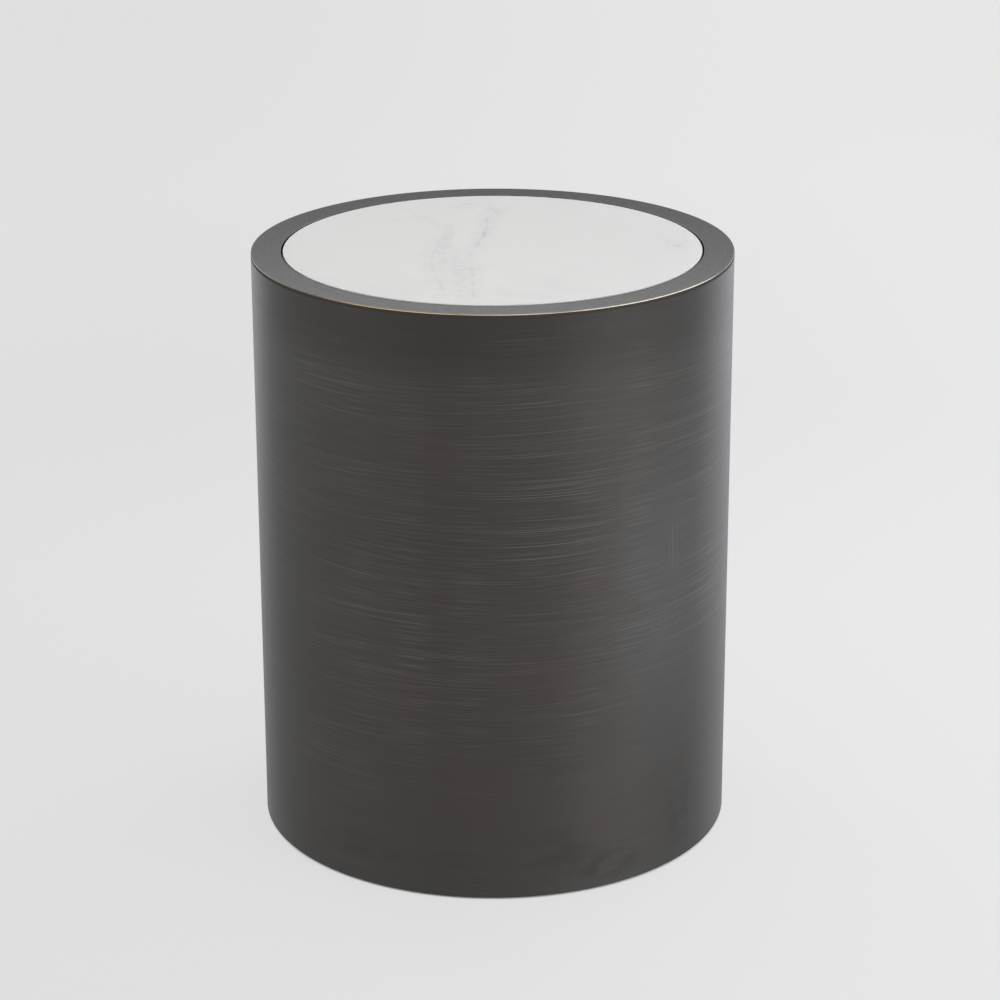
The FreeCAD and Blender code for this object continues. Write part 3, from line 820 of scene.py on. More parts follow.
@dataclass(frozen=True)
class VeinedStone:
    """White marble slab, honed to a satin face, with a few faint grey veins.

    The eye gets a slightly warm white, with painted shade that makes it a touch greyer towards the
    back, and soft broken grey lines and clouds beside them.

    Attributes:
        name: The real material and how its surface was made.
        white: Colour of the plain stone.
        painted_shade_back: Painted shade: the stone's colour at the back.
        cloud: Colour of the clouds.
        grey: Colour of the veins.
        roughness: Middle of the roughness.
        roughness_sway: How far the crystals move it up and down.
        ior: Index of refraction of marble.
        span: Side of the square that holds the veins.
        halo_reach: Reach of the haze beside a vein, in its half widths.
        wander_size: Size of a bend in a vein.
        gap_size: Size of a gap in the first vein.
        gap_change: Growth of the gaps' scale from vein to vein, in gaps to the metre.
        gap_range: Noise where a gap ends, and where the vein is whole.
        gap_share: Share of the vein that still shows in a gap.
        cloud_size: Size of a cloud.
        cloud_range: Noise where a cloud starts, and where it is full.
        cloud_cover: Cover of a full cloud.
        crystal_size: Size of a crystal in the honed face.
        crystal_depth: Depth of the crystals in the bump.
        crystal_strength: Strength of that bump.
        veins: The veins, front to back and across.
    """

    name: str = "white_marble_honed"
    white: str = "#dfdeda"
    painted_shade_back: str = "#c2c1be"
    cloud: str = "#cdccc9"
    grey: str = "#aeaeac"
    roughness: float = 0.50
    roughness_sway: float = 0.06
    ior: float = 1.49
    span: float = 400.0 * MM
    halo_reach: float = 4.5
    wander_size: float = 26.316 * MM
    gap_size: float = 16.667 * MM
    gap_change: float = 7.0
    gap_range: tuple[float, float] = (0.36, 0.62)
    gap_share: float = 0.2
    cloud_size: float = 71.43 * MM
    cloud_range: tuple[float, float] = (0.42, 0.75)
    cloud_cover: float = 0.4
    crystal_size: float = 1.1111 * MM
    crystal_depth: float = 0.03 * MM
    crystal_strength: float = 0.10
    veins: tuple[Vein, ...] = (
        Vein(
            runs_across=False,
            width=3.0 * MM,
            softness=3.0 * MM,
            line=(
                (136, 0, 0.0), (126, -1, 0.35), (104, -4, 0.45), (79, -5, 0.9), (45, -7, 0.95),
                (19, -11, 0.8), (-7, -16, 0.6), (-34, -19, 0.35), (-54, -18, 0.3), (-69, -17, 0.7),
                (-99, -16, 0.4), (-132, -15, 0.5), (-156, -14, 0.1), (-164, -14, 0.0),
            ),
            halo=0.42,
        ),
        Vein(
            runs_across=True,
            width=8.0 * MM,
            softness=5.0 * MM,
            line=(
                (-40, 112, 0.0), (-37, 115, 0.4), (-32, 132, 0.4), (-20, 146, 0.45), (-11, 155, 0.4),
                (-5, 146, 0.7), (0, 123, 0.8), (6, 114, 0.7), (12, 125, 0.4), (17, 156, 0.1),
            ),
            halo=0.42,
        ),
        Vein(
            runs_across=False,
            width=2.2 * MM,
            softness=2.4 * MM,
            line=(
                (98, -14, 0.0), (103, -12, 0.5), (113, -8, 0.6), (121, -4, 0.6), (137, -1, 0.5),
                (146, 0, 0.0),
            ),
        ),
        Vein(
            runs_across=True,
            width=6.0 * MM,
            softness=6.0 * MM,
            line=(
                (-106, 142, 0.0), (-103, 144, 0.3), (-90, 148, 0.25), (-79, 135, 0.4), (-71, 113, 0.4),
                (-63, 100, 0.4), (-52, 87, 0.35), (-45, 71, 0.3), (-42, 66, 0.0),
            ),
            halo=0.3,
        ),
        Vein(
            runs_across=True,
            width=4.0 * MM,
            softness=4.0 * MM,
            line=((-88, 88, 0.0), (-82, 88, 0.35), (-71, 89, 0.35), (-62, 83, 0.2), (-57, 82, 0.0)),
        ),
        Vein(
            runs_across=False,
            width=3.6 * MM,
            softness=6.0 * MM,
            line=(
                (78, -40, 0.0), (71, -40, 0.35), (37, -42, 0.4), (20, -44, 0.55), (-11, -47, 0.5),
                (-38, -50, 0.35), (-65, -48, 0.3), (-102, -43, 0.35), (-131, -39, 0.45),
                (-153, -38, 0.15), (-160, -38, 0.0),
            ),
            halo=0.45,
        ),
        Vein(
            runs_across=True,
            width=4.0 * MM,
            softness=4.0 * MM,
            line=((-65, -19, 0.0), (-60, -20, 0.5), (-56, -22, 0.5), (-52, -17, 0.25), (-49, -15, 0.0)),
        ),
        Vein(
            runs_across=False,
            width=10.0 * MM,
            softness=8.0 * MM,
            line=((74, -38, 0.0), (54, -38, 0.35), (5, -40, 0.45), (-34, -41, 0.4), (-78, -42, 0.0)),
        ),
        Vein(
            runs_across=False,
            width=13.0 * MM,
            softness=8.0 * MM,
            line=(
                (22, -33, 0.0), (-11, -33, 0.2), (-57, -28, 0.3), (-102, -26, 0.3), (-153, -23, 0.2),
                (-166, -23, 0.0),
            ),
        ),
        Vein(
            runs_across=True,
            width=7.0 * MM,
            softness=6.0 * MM,
            line=(
                (136, 50, 0.0), (140, 44, 0.2), (142, 31, 0.3), (146, 11, 0.5), (153, -1, 0.5),
                (159, 15, 0.3), (164, 20, 0.0),
            ),
            halo=0.5,
        ),
    )

    def share(self, millimetres: float) -> float:
        """Return a place in millimetres as a share of the span, 0.5 at the slab's middle."""
        return millimetres * MM / self.span + 0.5

    def follow(self, tree: Tree, share: Socket, stops: Sequence[tuple[float, float]]) -> Socket:
        """Return a smooth line's value at a share of its span.

        Args:
            tree: Tree of the material.
            share: Place along the span, from 0 to 1.
            stops: Share and value of each point on the line.

        Returns:
            The value there.
        """
        node = add_node(tree, "ShaderNodeFloatCurve", {}, {"Value": share})
        curve = node.mapping.curves[0]
        ordered = sorted(stops)
        for _ in ordered[2:]:
            curve.points.new(0.5, 0.5)
        for point, stop in zip(curve.points, ordered, strict=True):
            point.location = stop
        node.mapping.update()
        return node.outputs[0]

    def vein_cover(self, tree: Tree, place: Socket, vein: Vein, number: int) -> Socket:
        """Return how much of a vein shows at a place.

        The cover falls from 1 to 0 as the distance across from the vein's line grows to its
        half width, or from the halo's strength to 0 further out where that is more, times the
        strength there, times a noise that breaks it up.

        Args:
            tree: Tree of the material.
            place: Place in the slab.
            vein: The vein.
            number: Its number, which sets its gaps apart from the others'.

        Returns:
            A factor from 0 to 1.
        """
        ragged = {"Detail": 5.0, "Roughness": 0.65}
        bends = {"Vector": place, "Scale": 1.0 / self.wander_size, **ragged}
        shaken = add_node(tree, "ShaderNodeTexNoise", {}, bends).outputs["Color"]
        centred = add_node(tree, "ShaderNodeVectorMath", SUBTRACT, {0: shaken, 1: (0.5, 0.5, 0.5)})
        # The centred noise goes up to a half each way, so twice the softness moves by all of it.
        reach = {0: centred.outputs[0], "Scale": vein.softness * 2.0}
        wander = add_node(tree, "ShaderNodeVectorMath", {"operation": "SCALE"}, reach).outputs[0]
        moved = add_node(tree, "ShaderNodeVectorMath", ADD, {0: place, 1: wander}).outputs[0]
        parts = add_node(tree, "ShaderNodeSeparateXYZ", {}, {0: moved}).outputs
        scaling = {"operation": "MULTIPLY_ADD"}
        along, across = (
            add_node(tree, "ShaderNodeMath", scaling, {0: parts[axis], 1: 1.0 / self.span, 2: 0.5}).outputs[0]
            for axis in ((0, 1) if vein.runs_across else (1, 0))
        )
        middle = self.follow(tree, along, [(self.share(a), self.share(c)) for a, c, _ in vein.line])
        strength = self.follow(tree, along, [(self.share(a), s) for a, _, s in vein.line])
        gap = add_node(tree, "ShaderNodeMath", SUBTRACT, {0: across, 1: middle}).outputs[0]
        far = add_node(tree, "ShaderNodeMath", ABSOLUTE, {0: gap}).outputs[0]
        fade = {"Value": far, "From Min": vein.width / self.span, "From Max": 0.0}
        cover = add_node(tree, "ShaderNodeMapRange", SMOOTH, fade).outputs[0]
        if vein.halo > 0.0:
            wide = {**fade, "From Min": self.halo_reach * vein.width / self.span, "To Max": vein.halo}
            haze = add_node(tree, "ShaderNodeMapRange", SMOOTH, wide).outputs[0]
            cover = add_node(tree, "ShaderNodeMath", MAXIMUM, {0: cover, 1: haze}).outputs[0]
        gap_scale = 1.0 / self.gap_size + self.gap_change * number
        fray = add_node(tree, "ShaderNodeTexNoise", {}, {"Vector": moved, "Scale": gap_scale, **ragged})
        gaps = {"Value": fray.outputs[0], "To Min": self.gap_share}
        gaps |= {"From Min": self.gap_range[0], "From Max": self.gap_range[1]}
        broken = add_node(tree, "ShaderNodeMapRange", SMOOTH, gaps).outputs[0]
        for factor in (strength, broken):
            cover = add_node(tree, "ShaderNodeMath", MULTIPLY, {0: cover, 1: factor}).outputs[0]
        return cover

    def colour(self, tree: Tree, place: Socket) -> Socket:
        """Lay the painted shade towards the back, the clouds and the veins over the white.

        Args:
            tree: Tree of the material.
            place: Place in the slab.

        Returns:
            The colour of the stone.
        """
        veined = self.vein_cover(tree, place, self.veins[0], 0)
        for number, vein in enumerate(self.veins[1:], start=1):
            pair = {0: veined, 1: self.vein_cover(tree, place, vein, number)}
            veined = add_node(tree, "ShaderNodeMath", MAXIMUM, pair).outputs[0]
        drift = {"Vector": place, "Scale": 1.0 / self.cloud_size, "Detail": 4.0, "Distortion": 0.6}
        drifting = add_node(tree, "ShaderNodeTexNoise", {}, drift).outputs[0]
        haze = {"Value": drifting, "To Max": self.cloud_cover}
        haze |= {"From Min": self.cloud_range[0], "From Max": self.cloud_range[1]}
        cloudy = add_node(tree, "ShaderNodeMapRange", SMOOTH, haze).outputs[0]
        # Painted shade: the stone is made greyer from the front to the back.
        back = add_node(tree, "ShaderNodeSeparateXYZ", {}, {0: place}).outputs[1]
        depth = {"Value": back, "From Min": -0.5 * self.span, "From Max": 0.5 * self.span}
        painted_shade_cover = add_node(tree, "ShaderNodeMapRange", {}, depth).outputs[0]
        colour = linear(self.white)
        for cover, over in ((painted_shade_cover, self.painted_shade_back), (cloudy, self.cloud), (veined, self.grey)):
            coat = {0: cover, 6: colour, 7: linear(over)}
            colour = add_node(tree, "ShaderNodeMix", COLOURS, coat).outputs[2]
        return colour

    def material(self) -> Material:
        """Build the material.

        Returns:
            The finished node material.
        """
        material = new_material(self.name)
        tree = material.node_tree
        place = add_node(tree, "ShaderNodeTexCoord").outputs["Object"]
        grit = {"Vector": place, "Scale": 1.0 / self.crystal_size, "Detail": 2.0}
        crystals = add_node(tree, "ShaderNodeTexNoise", {}, grit).outputs[0]
        low, high = self.roughness - self.roughness_sway, self.roughness + self.roughness_sway
        span = {"Value": crystals, "To Min": low, "To Max": high}
        rough = add_node(tree, "ShaderNodeMapRange", {}, span).outputs[0]
        relief = {"Strength": self.crystal_strength, "Distance": self.crystal_depth, "Height": crystals}
        face = {
            "Base Color": self.colour(tree, place),
            "Roughness": rough,
            "IOR": self.ior,
            "Normal": add_node(tree, "ShaderNodeBump", {}, relief).outputs[0],
        }
        shader = add_node(tree, "ShaderNodeBsdfPrincipled", {}, face)
        add_node(tree, "ShaderNodeOutputMaterial", {}, {"Surface": shader.outputs[0]})
        return material


@dataclass(frozen=True)
class GrainedFinish:
    """A plain workshop finish: a base colour with a second one in grains, and a fine bump.

    Attributes:
        name: The real material and how its surface was made.
        base: Main colour.
        fleck: Colour of the grains.
        metallic: 1 for bare metal, 0 for the rest.
        roughness: Roughness in the middle of its range.
        grain: Size of one grain.
        lie: How the grains lie.
        relief: Depth of the bump.
        softness: How far the noise fades a grain in, to both sides of its middle.
        roughness_sway: How far the noise moves the roughness up and down.
        relief_strength: Strength of the bump.
    """

    name: str
    base: str
    fleck: str
    metallic: float
    roughness: float
    grain: float
    lie: Grain = Grain.EVEN
    relief: float = 0.05 * MM
    softness: float = 0.12
    roughness_sway: float = 0.08
    relief_strength: float = 0.35

    def material(self) -> Material:
        """Build the material on Object coordinates.

        Returns:
            The finished node material.
        """
        material = new_material(self.name)
        tree = material.node_tree
        place = add_node(tree, "ShaderNodeTexCoord").outputs["Object"]
        scale = tuple(share / self.grain for share in self.lie.value)
        drawn = add_node(tree, "ShaderNodeMapping", {}, {"Vector": place, "Scale": scale})
        grain = {"Vector": drawn.outputs[0], "Scale": 1.0, "Detail": 4.0, "Roughness": 0.6}
        noise = add_node(tree, "ShaderNodeTexNoise", {}, grain).outputs[0]
        edge = {"Value": noise, "From Min": 0.5 - self.softness, "From Max": 0.5 + self.softness}
        grains = add_node(tree, "ShaderNodeMapRange", SMOOTH, edge).outputs[0]
        pair = {0: grains, 6: linear(self.base), 7: linear(self.fleck)}
        colour = add_node(tree, "ShaderNodeMix", COLOURS, pair).outputs[2]
        low, high = self.roughness - self.roughness_sway, self.roughness + self.roughness_sway
        span = {"Value": noise, "To Min": low, "To Max": high}
        rough = add_node(tree, "ShaderNodeMapRange", {}, span).outputs[0]
        relief = {"Strength": self.relief_strength, "Distance": self.relief, "Height": noise}
        bump = add_node(tree, "ShaderNodeBump", {}, relief).outputs[0]
        skin = {"Base Color": colour, "Metallic": self.metallic, "Roughness": rough, "Normal": bump}
        shader = add_node(tree, "ShaderNodeBsdfPrincipled", {}, skin)
        add_node(tree, "ShaderNodeOutputMaterial", {}, {"Surface": shader.outputs[0]})
        return material


# Welded mild steel under one sprayed coat: a near-black skin with a faint orange-peel bump.
PRIMED_STEEL = GrainedFinish("mild_steel_black_primer", "#1d1d1f", "#28282a", 0.0, 0.52, 1.6 * MM)
# Rolled brass strip, unpolished: warm yellow with duller drawn streaks.
MILL_BRASS = GrainedFinish(
    "brass_strip_mill_finish", "#b59a5e", "#97804c", 1.0, 0.36, 1.2 * MM, Grain.UPRIGHT
)
# Birch plywood, sanded: pale wood whose edge shows the plies as level bands.
BIRCH_PLY = GrainedFinish("birch_plywood_sanded", "#d8bf98", "#b8976b", 0.0, 0.62, 1.4 * MM, Grain.LEVEL)
# Medium-density board with rolled matt paint: black with a short soft stipple.
BLACK_BOARD = GrainedFinish("fibreboard_matt_black_paint", "#18181a", "#232325", 0.0, 0.68, 0.9 * MM)
# Screws blackened in oil: dark metal with a slight brown bloom.
OIL_BLACK = GrainedFinish("steel_screw_oil_blackened", "#2b2a29", "#3a3531", 1.0, 0.42, 0.7 * MM)
# Zinc-plated steel: cool bright grey with a faint spangle.
ZINC_PLATE = GrainedFinish("steel_zinc_plated", "#a9adb1", "#c0c3c6", 1.0, 0.34, 1.1 * MM)
# Moulded nylon: black, with the fine spark-eroded texture of its mould.
MOULDED_NYLON = GrainedFinish("nylon_moulded_black", "#202022", "#2b2b2d", 0.0, 0.50, 0.45 * MM)
# Vulcanised rubber: dull dark grey, dusted paler where it was parted from its mould.
SOLE_RUBBER = GrainedFinish("rubber_vulcanised_grey", "#303032", "#3d3d3e", 0.0, 0.82, 0.6 * MM)
# Cured silicone dabs: milky white, slightly glossy.
SILICONE = GrainedFinish("silicone_cured_white", "#dcdcd6", "#e8e8e4", 0.0, 0.30, 3.0 * MM)


# ---------------------------------------------------------------------------------------------
# Sub-assemblies


@dataclass
class Drum:
    """The visible metal: the rolled shell, the flat rim on it and the collar of the recess."""

    radius: float = 200.0 * MM
    wall: float = 1.5 * MM
    foot: float = 2.0 * MM
    height: float = 500.0 * MM
    rim_width: float = 25.0 * MM
    rim_thickness: float = 3.0 * MM
    outer_arris: float = 0.8 * MM
    inner_arris: float = 0.4 * MM
    collar_wall: float = 2.0 * MM
    collar_foot: float = 465.0 * MM
    seam: float = 0.3 * MM
    columns: int = 360
    rows: int = 24

    def shell(self) -> Piece:
        """Build the rolled sheet, open by the seam's gap at the back.

        The profile is a flat strip: up the outside, down the inside, with both ends of the strip
        closed by the same profile, outside point to inside point.

        Returns:
            The shell.
        """
        inner = self.radius - self.wall
        top = self.height - self.rim_thickness
        outside = line_points((self.radius, self.foot), (self.radius, top), self.rows)
        inside = line_points((inner, self.foot), (inner, top), self.rows)
        loop = np.concatenate([outside, inside[::-1], outside[:1]])
        strip = turned(loop, front_to_back(self.columns, self.seam / self.radius))
        up = slice(0, self.rows + 1)
        down = slice(2 * self.rows + 1, self.rows, -1)
        ends = []
        for column in (0, -1):
            edges = np.stack([strip.points[up, column], strip.points[down, column]], axis=1)
            flat = strip.flat[up, column]
            ends.append(Surface(edges, np.stack([flat, flat + (self.wall, 0.0)], axis=1)))
        return mesh_piece("rolled_shell", [strip, *ends])

    def rim(self) -> Piece:
        """Build the flat rim plate, its two upper arrises rounded by their radii.

        The profile runs up the outside, over the top, down the inside and back underneath.

        Returns:
            The rim.
        """
        outer, inner = self.radius, self.radius - self.rim_width
        top, bottom = self.height, self.height - self.rim_thickness
        big, small = self.outer_arris, self.inner_arris
        profile = np.concatenate(
            [
                line_points((outer, bottom), (outer, top - big), 3),
                arc_points((outer - big, top - big), big, 0, 90, 6)[1:],
                line_points((outer - big, top), (inner + small, top), 10)[1:],
                arc_points((inner + small, top - small), small, 90, 180, 4)[1:],
                line_points((inner, top - small), (inner, bottom), 2)[1:],
                line_points((inner, bottom), (outer, bottom), 4)[1:],
            ]
        )
        return mesh_piece("flat_rim", [turned(profile, front_to_back(self.columns))])

    def collar(self) -> Piece:
        """Build the collar that hangs under the rim's inner edge, the wall of the recess.

        The profile is a rectangle, gone round once.

        Returns:
            The collar.
        """
        inner = self.radius - self.rim_width
        outer = inner + self.collar_wall
        top = self.height - self.rim_thickness
        corners = ((outer, self.collar_foot), (outer, top), (inner, top), (inner, self.collar_foot))
        sides = [line_points(a, b, 6)[1:] for a, b in zip(corners, corners[1:] + corners[:1], strict=True)]
        profile = np.concatenate([np.array(corners[:1]), *sides])
        return mesh_piece("recess_collar", [turned(profile, front_to_back(self.columns))])

    def build(self, sheet: Material, plate: Material) -> None:
        """Build the three pieces.

        Args:
            sheet: Finish of the rolled shell.
            plate: Finish of the rim and its collar.
        """
        pieces = (
            (self.shell(), "drum_shell", sheet),
            (self.rim(), "rim_ring", plate),
            (self.collar(), "rim_collar", plate),
        )
        for piece, node, patina in pieces:
            stand_in(piece, node, Body.TABLE.value, patina)


@dataclass
class StoneTop:
    """The round slab that lies flush in the rim."""

    radius: float = 173.5 * MM
    underside: float = 488.0 * MM
    face: float = 500.0 * MM
    upper_arris: float = 0.6 * MM
    lower_arris: float = 0.3 * MM
    columns: int = 300

    def build(self, stone: Material) -> None:
        """Build the slab as a turned profile, from its lower middle round the edge to its upper one.

        Args:
            stone: Finish of the slab.
        """
        high, low = self.upper_arris, self.lower_arris
        profile = np.concatenate(
            [
                line_points((0.0, self.underside), (self.radius - low, self.underside), 12),
                arc_points((self.radius - low, self.underside + low), low, -90, 0, 3)[1:],
                line_points((self.radius, self.underside + low), (self.radius, self.face - high), 4)[1:],
                arc_points((self.radius - high, self.face - high), high, 0, 90, 6)[1:],
                line_points((self.radius - high, self.face), (0.0, self.face), 16)[1:],
            ]
        )
        piece = mesh_piece("stone_slab", [turned(profile, front_to_back(self.columns))])
        stand_in(piece, "stone_top", Body.TABLE.value, stone)


@dataclass
class LevellingFoot:
    """One adjustable foot: a threaded stem with a hexagon, and a swivelling pad with its sole.

    Heights are counted from the floor and radii from the foot's own axis. Of a pair of lengths,
    the first is level and the second upright.
    """

    corner: Corner
    circle: float = 160.0 * MM
    stem_radius: float = 4.0 * MM
    thread_pitch: float = 1.25 * MM
    thread_depth: float = 0.62 * MM
    disc_radius: float = 7.0 * MM
    disc_foot: float = 2.55 * MM
    disc_top: float = 4.05 * MM
    disc_bevel: float = 0.2 * MM
    hex_foot: float = 6.3 * MM
    hex_top: float = 9.7 * MM
    hex_flats: float = 13.0 * MM
    hex_bevel: float = 0.5 * MM
    hex_bevel_height: float = 0.3 * MM
    thread_start: float = 0.4 * MM
    thread_rows: int = 6
    stem_top: float = 46.0 * MM
    stem_bevel: float = 0.8 * MM
    pad_radius: float = 19.0 * MM
    pad_foot: float = 0.5 * MM
    pad_edge: float = 3.0 * MM
    pad_top: float = 6.0 * MM
    pad_crown: float = 10.0 * MM
    pad_lip: float = 0.5 * MM
    pad_bevel: float = 0.2 * MM
    crown_slope: tuple[float, float] = (1.2 * MM, 0.25 * MM)
    bore: float = 4.05 * MM
    bore_bevel: float = 0.3 * MM
    disc_room: tuple[float, float] = (0.3 * MM, 0.05 * MM)
    sole_radius: float = 16.0 * MM
    sole_top: float = 1.5 * MM
    sole_bevel: float = 0.4 * MM
    sole_rows: int = 60
    groove: float = 0.3 * MM
    groove_spacing: float = 4.0 * MM
    columns: int = 72

    def centre(self) -> tuple[float, float]:
        """Return the foot's axis as x and y."""
        angle = math.radians(self.corner.value)
        return self.circle * math.sin(angle), -self.circle * math.cos(angle)

    def stem(self, name: str) -> Piece:
        """Build the stem as one surface whose radius varies with height and angle.

        The hexagon's radius is half its flats over the cosine of the angle from the nearest flat,
        and no more than a cone allows near its two faces. The thread's radius falls from the crest
        by the depth times a triangle wave of (height - pitch * turns) / pitch.

        Args:
            name: Name of the piece.

        Returns:
            The stem.
        """
        angles = front_to_back(self.columns)
        half_side = math.pi / 6.0
        from_flat = (angles + half_side) % (2.0 * half_side) - half_side
        hexagon = self.hex_flats / 2.0 / np.cos(from_flat)
        round_hex = self.hex_flats / 2.0 / math.cos(half_side) - self.hex_bevel
        steady = np.ones_like(angles)
        turns = angles / (2.0 * math.pi)
        rows = [
            (self.disc_foot, 0.0 * steady),
            (self.disc_foot, (self.disc_radius - self.disc_bevel) * steady),
            (self.disc_foot + self.disc_bevel, self.disc_radius * steady),
            (self.disc_top - self.disc_bevel, self.disc_radius * steady),
            (self.disc_top, (self.disc_radius - self.disc_bevel) * steady),
            (self.disc_top, self.stem_radius * steady),
            (self.hex_foot, self.stem_radius * steady),
            (self.hex_foot, np.minimum(hexagon, round_hex)),
            (self.hex_foot + self.hex_bevel_height, hexagon),
            (self.hex_top - self.hex_bevel_height, hexagon),
            (self.hex_top, np.minimum(hexagon, round_hex)),
            (self.hex_top, (self.stem_radius - self.thread_depth) * steady),
        ]
        first = self.hex_top + self.thread_start
        last = self.stem_top - self.stem_bevel
        for height in np.arange(first, last, self.thread_pitch / self.thread_rows):
            wave = np.abs(((height / self.thread_pitch - turns) % 1.0) * 2.0 - 1.0)
            rows.append((height, self.stem_radius - self.thread_depth * wave))
        rows += [
            (last, (self.stem_radius - self.thread_depth) * steady),
            (self.stem_top, (self.stem_radius - self.stem_bevel) * steady),
            (self.stem_top, 0.0 * steady),
        ]
        radius = np.stack([row[1] for row in rows])
        height = np.array([row[0] for row in rows])[:, None] + 0.0 * angles
        x0, y0 = self.centre()
        points = np.stack([x0 + radius * np.sin(angles), y0 - radius * np.cos(angles), height], axis=2)
        flat = np.stack([self.stem_radius * angles + 0.0 * height, height], axis=2)
        return mesh_piece(name, [Surface(points, flat)])

    def pad(self, name: str) -> Piece:
        """Build the domed pad: a turned profile with bevelled lips, open for the stem and the sole.

        Args:
            name: Name of the piece.

        Returns:
            The pad.
        """
        lip, soft = self.pad_lip, self.bore_bevel
        outward, down = self.crown_slope
        wall = self.disc_radius + self.disc_room[0]
        ceiling, ground = self.disc_top + self.disc_room[1], self.disc_foot - self.disc_room[1]
        dome = [
            (self.pad_radius, self.pad_edge - lip),
            (self.pad_radius - self.pad_bevel, self.pad_edge),
            (self.pad_crown + outward, self.pad_top - down),
            (self.pad_crown, self.pad_top),
            (self.bore + soft, self.pad_top),
            (self.bore, self.pad_top - soft),
        ]
        room = [(self.bore, ceiling), (wall, ceiling), (wall, ground), (0.0, ground)]
        under = [
            (0.0, self.sole_top),
            (self.sole_radius, self.sole_top),
            (self.sole_radius, self.pad_foot),
            (self.pad_radius - lip, self.pad_foot),
            (self.pad_radius, self.pad_foot + lip),
        ]
        angles = front_to_back(self.columns)
        profiles = (np.array([under[-1], *dome, *room]), np.array(under))
        return mesh_piece(name, [turned(profile, angles, self.centre()) for profile in profiles])

    def sole(self, name: str) -> Piece:
        """Build the sole: a disc with round grooves in its underside.

        At a radius r the underside lies higher by the groove's depth times the fourth power of
        the sine of pi r / spacing.

        Args:
            name: Name of the piece.

        Returns:
            The sole.
        """
        top, bevel = self.sole_top, self.sole_bevel
        rings = np.linspace(0.0, self.sole_radius - bevel, self.sole_rows + 1)
        dip = self.groove * np.sin(math.pi * rings / self.groove_spacing) ** 4
        under = np.stack([rings, dip], axis=1)
        under[-1, 1] = 0.0
        rest = np.array([(self.sole_radius, bevel), (self.sole_radius, top), (0.0, top)])
        profile = np.concatenate([under, rest])
        return mesh_piece(name, [turned(profile, front_to_back(self.columns), self.centre())])

    def build(self, zinc: Material, nylon: Material, rubber: Material) -> None:
        """Build the foot's three pieces.

        Args:
            zinc: Finish of the stem.
            nylon: Finish of the pad.
            rubber: Finish of the sole.
        """
        where = self.corner.name.lower()
        stem_body, pad_body = f"{where}_{Body.STEM.value}", f"{where}_{Body.PAD.value}"
        stand_in(self.stem(f"{where}_threaded_stem"), f"{where}_foot_stem", stem_body, zinc)
        stand_in(self.pad(f"{where}_domed_pad"), f"{where}_foot_pad", pad_body, nylon)
        stand_in(self.sole(f"{where}_grooved_sole"), f"{where}_foot_sole", pad_body, rubber)


@dataclass
class InnerWork:
    """The solids that keep their own shape: the frame, the boards, the screws and the nuts."""

    steel: tuple[str, ...] = ("middle_hoop", "ledge_ring", "base_ring")
    screws: tuple[str, ...] = ("ledge_screws", "base_screws")

    def finishes(self) -> dict[str, Material]:
        """Choose the finish of each node that keeps its solid.

        Returns:
            The finishes by the nodes' names.
        """
        steel, screw, zinc = PRIMED_STEEL.material(), OIL_BLACK.material(), ZINC_PLATE.material()
        chosen = {node: steel for node in self.steel}
        chosen |= {node: screw for node in self.screws}
        for corner in Corner:
            chosen[f"{corner.name.lower()}_upright"] = steel
            chosen[f"{corner.name.lower()}_foot_nut"] = zinc
        chosen["seam_strip"] = MILL_BRASS.material()
        chosen["sub_top"] = BIRCH_PLY.material()
        chosen["bedding_dots"] = SILICONE.material()
        chosen["base_board"] = BLACK_BOARD.material()
        return chosen

    def build(self) -> None:
        """Give each of these nodes its finish."""
        for node, material in self.finishes().items():
            dress(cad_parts[node], material)
            log.info("%s keeps its solid, in %s", node, material.name)


# ---------------------------------------------------------------------------------------------
# Studio


@dataclass(frozen=True)
class SoftPanel:
    """One soft lamp: a flat panel that faces a point on the table.

    Attributes:
        name: Its name.
        place: Where it stands.
        aim: Point that it faces.
        width: Its width.
        height: Its height.
        power: Its power in watts.
        tint: Colour of its light.
    """

    name: str
    place: Point
    aim: Point
    width: float
    height: float
    power: float
    tint: str = "#ffffff"

    def build(self) -> None:
        """Make the lamp; the camera doesn't see it."""
        light = bpy.data.lights.new(self.name, "AREA")
        light.shape = "RECTANGLE"
        light.size, light.size_y, light.energy = self.width, self.height, self.power
        light.color = linear(self.tint)[:3]
        lamp = bpy.data.objects.new(self.name, light)
        bpy.context.scene.collection.objects.link(lamp)
        lamp.location = self.place
        direction = Vector(self.aim) - Vector(self.place)
        lamp.rotation_euler = direction.to_track_quat("-Z", "Y").to_euler()
        lamp.visible_camera = False


def upright_panel(turn: float, width: float, power: float, tint: str = "#ffffff") -> SoftPanel:
    """Return a tall soft panel beside the table that faces the drum's middle.

    Args:
        turn: Angle from the front towards +X, in degrees.
        width: Its width.
        power: Its power in watts.
        tint: Colour of its light.

    Returns:
        The panel.
    """
    distance, middle, height = 2.3, 0.95, 1.7
    drum_middle = (0.0, 0.0, 0.25)
    angle = math.radians(turn)
    place = (distance * math.sin(angle), -distance * math.cos(angle), middle)
    return SoftPanel(f"upright_panel_{turn:.0f}", place, drum_middle, width, height, power, tint)


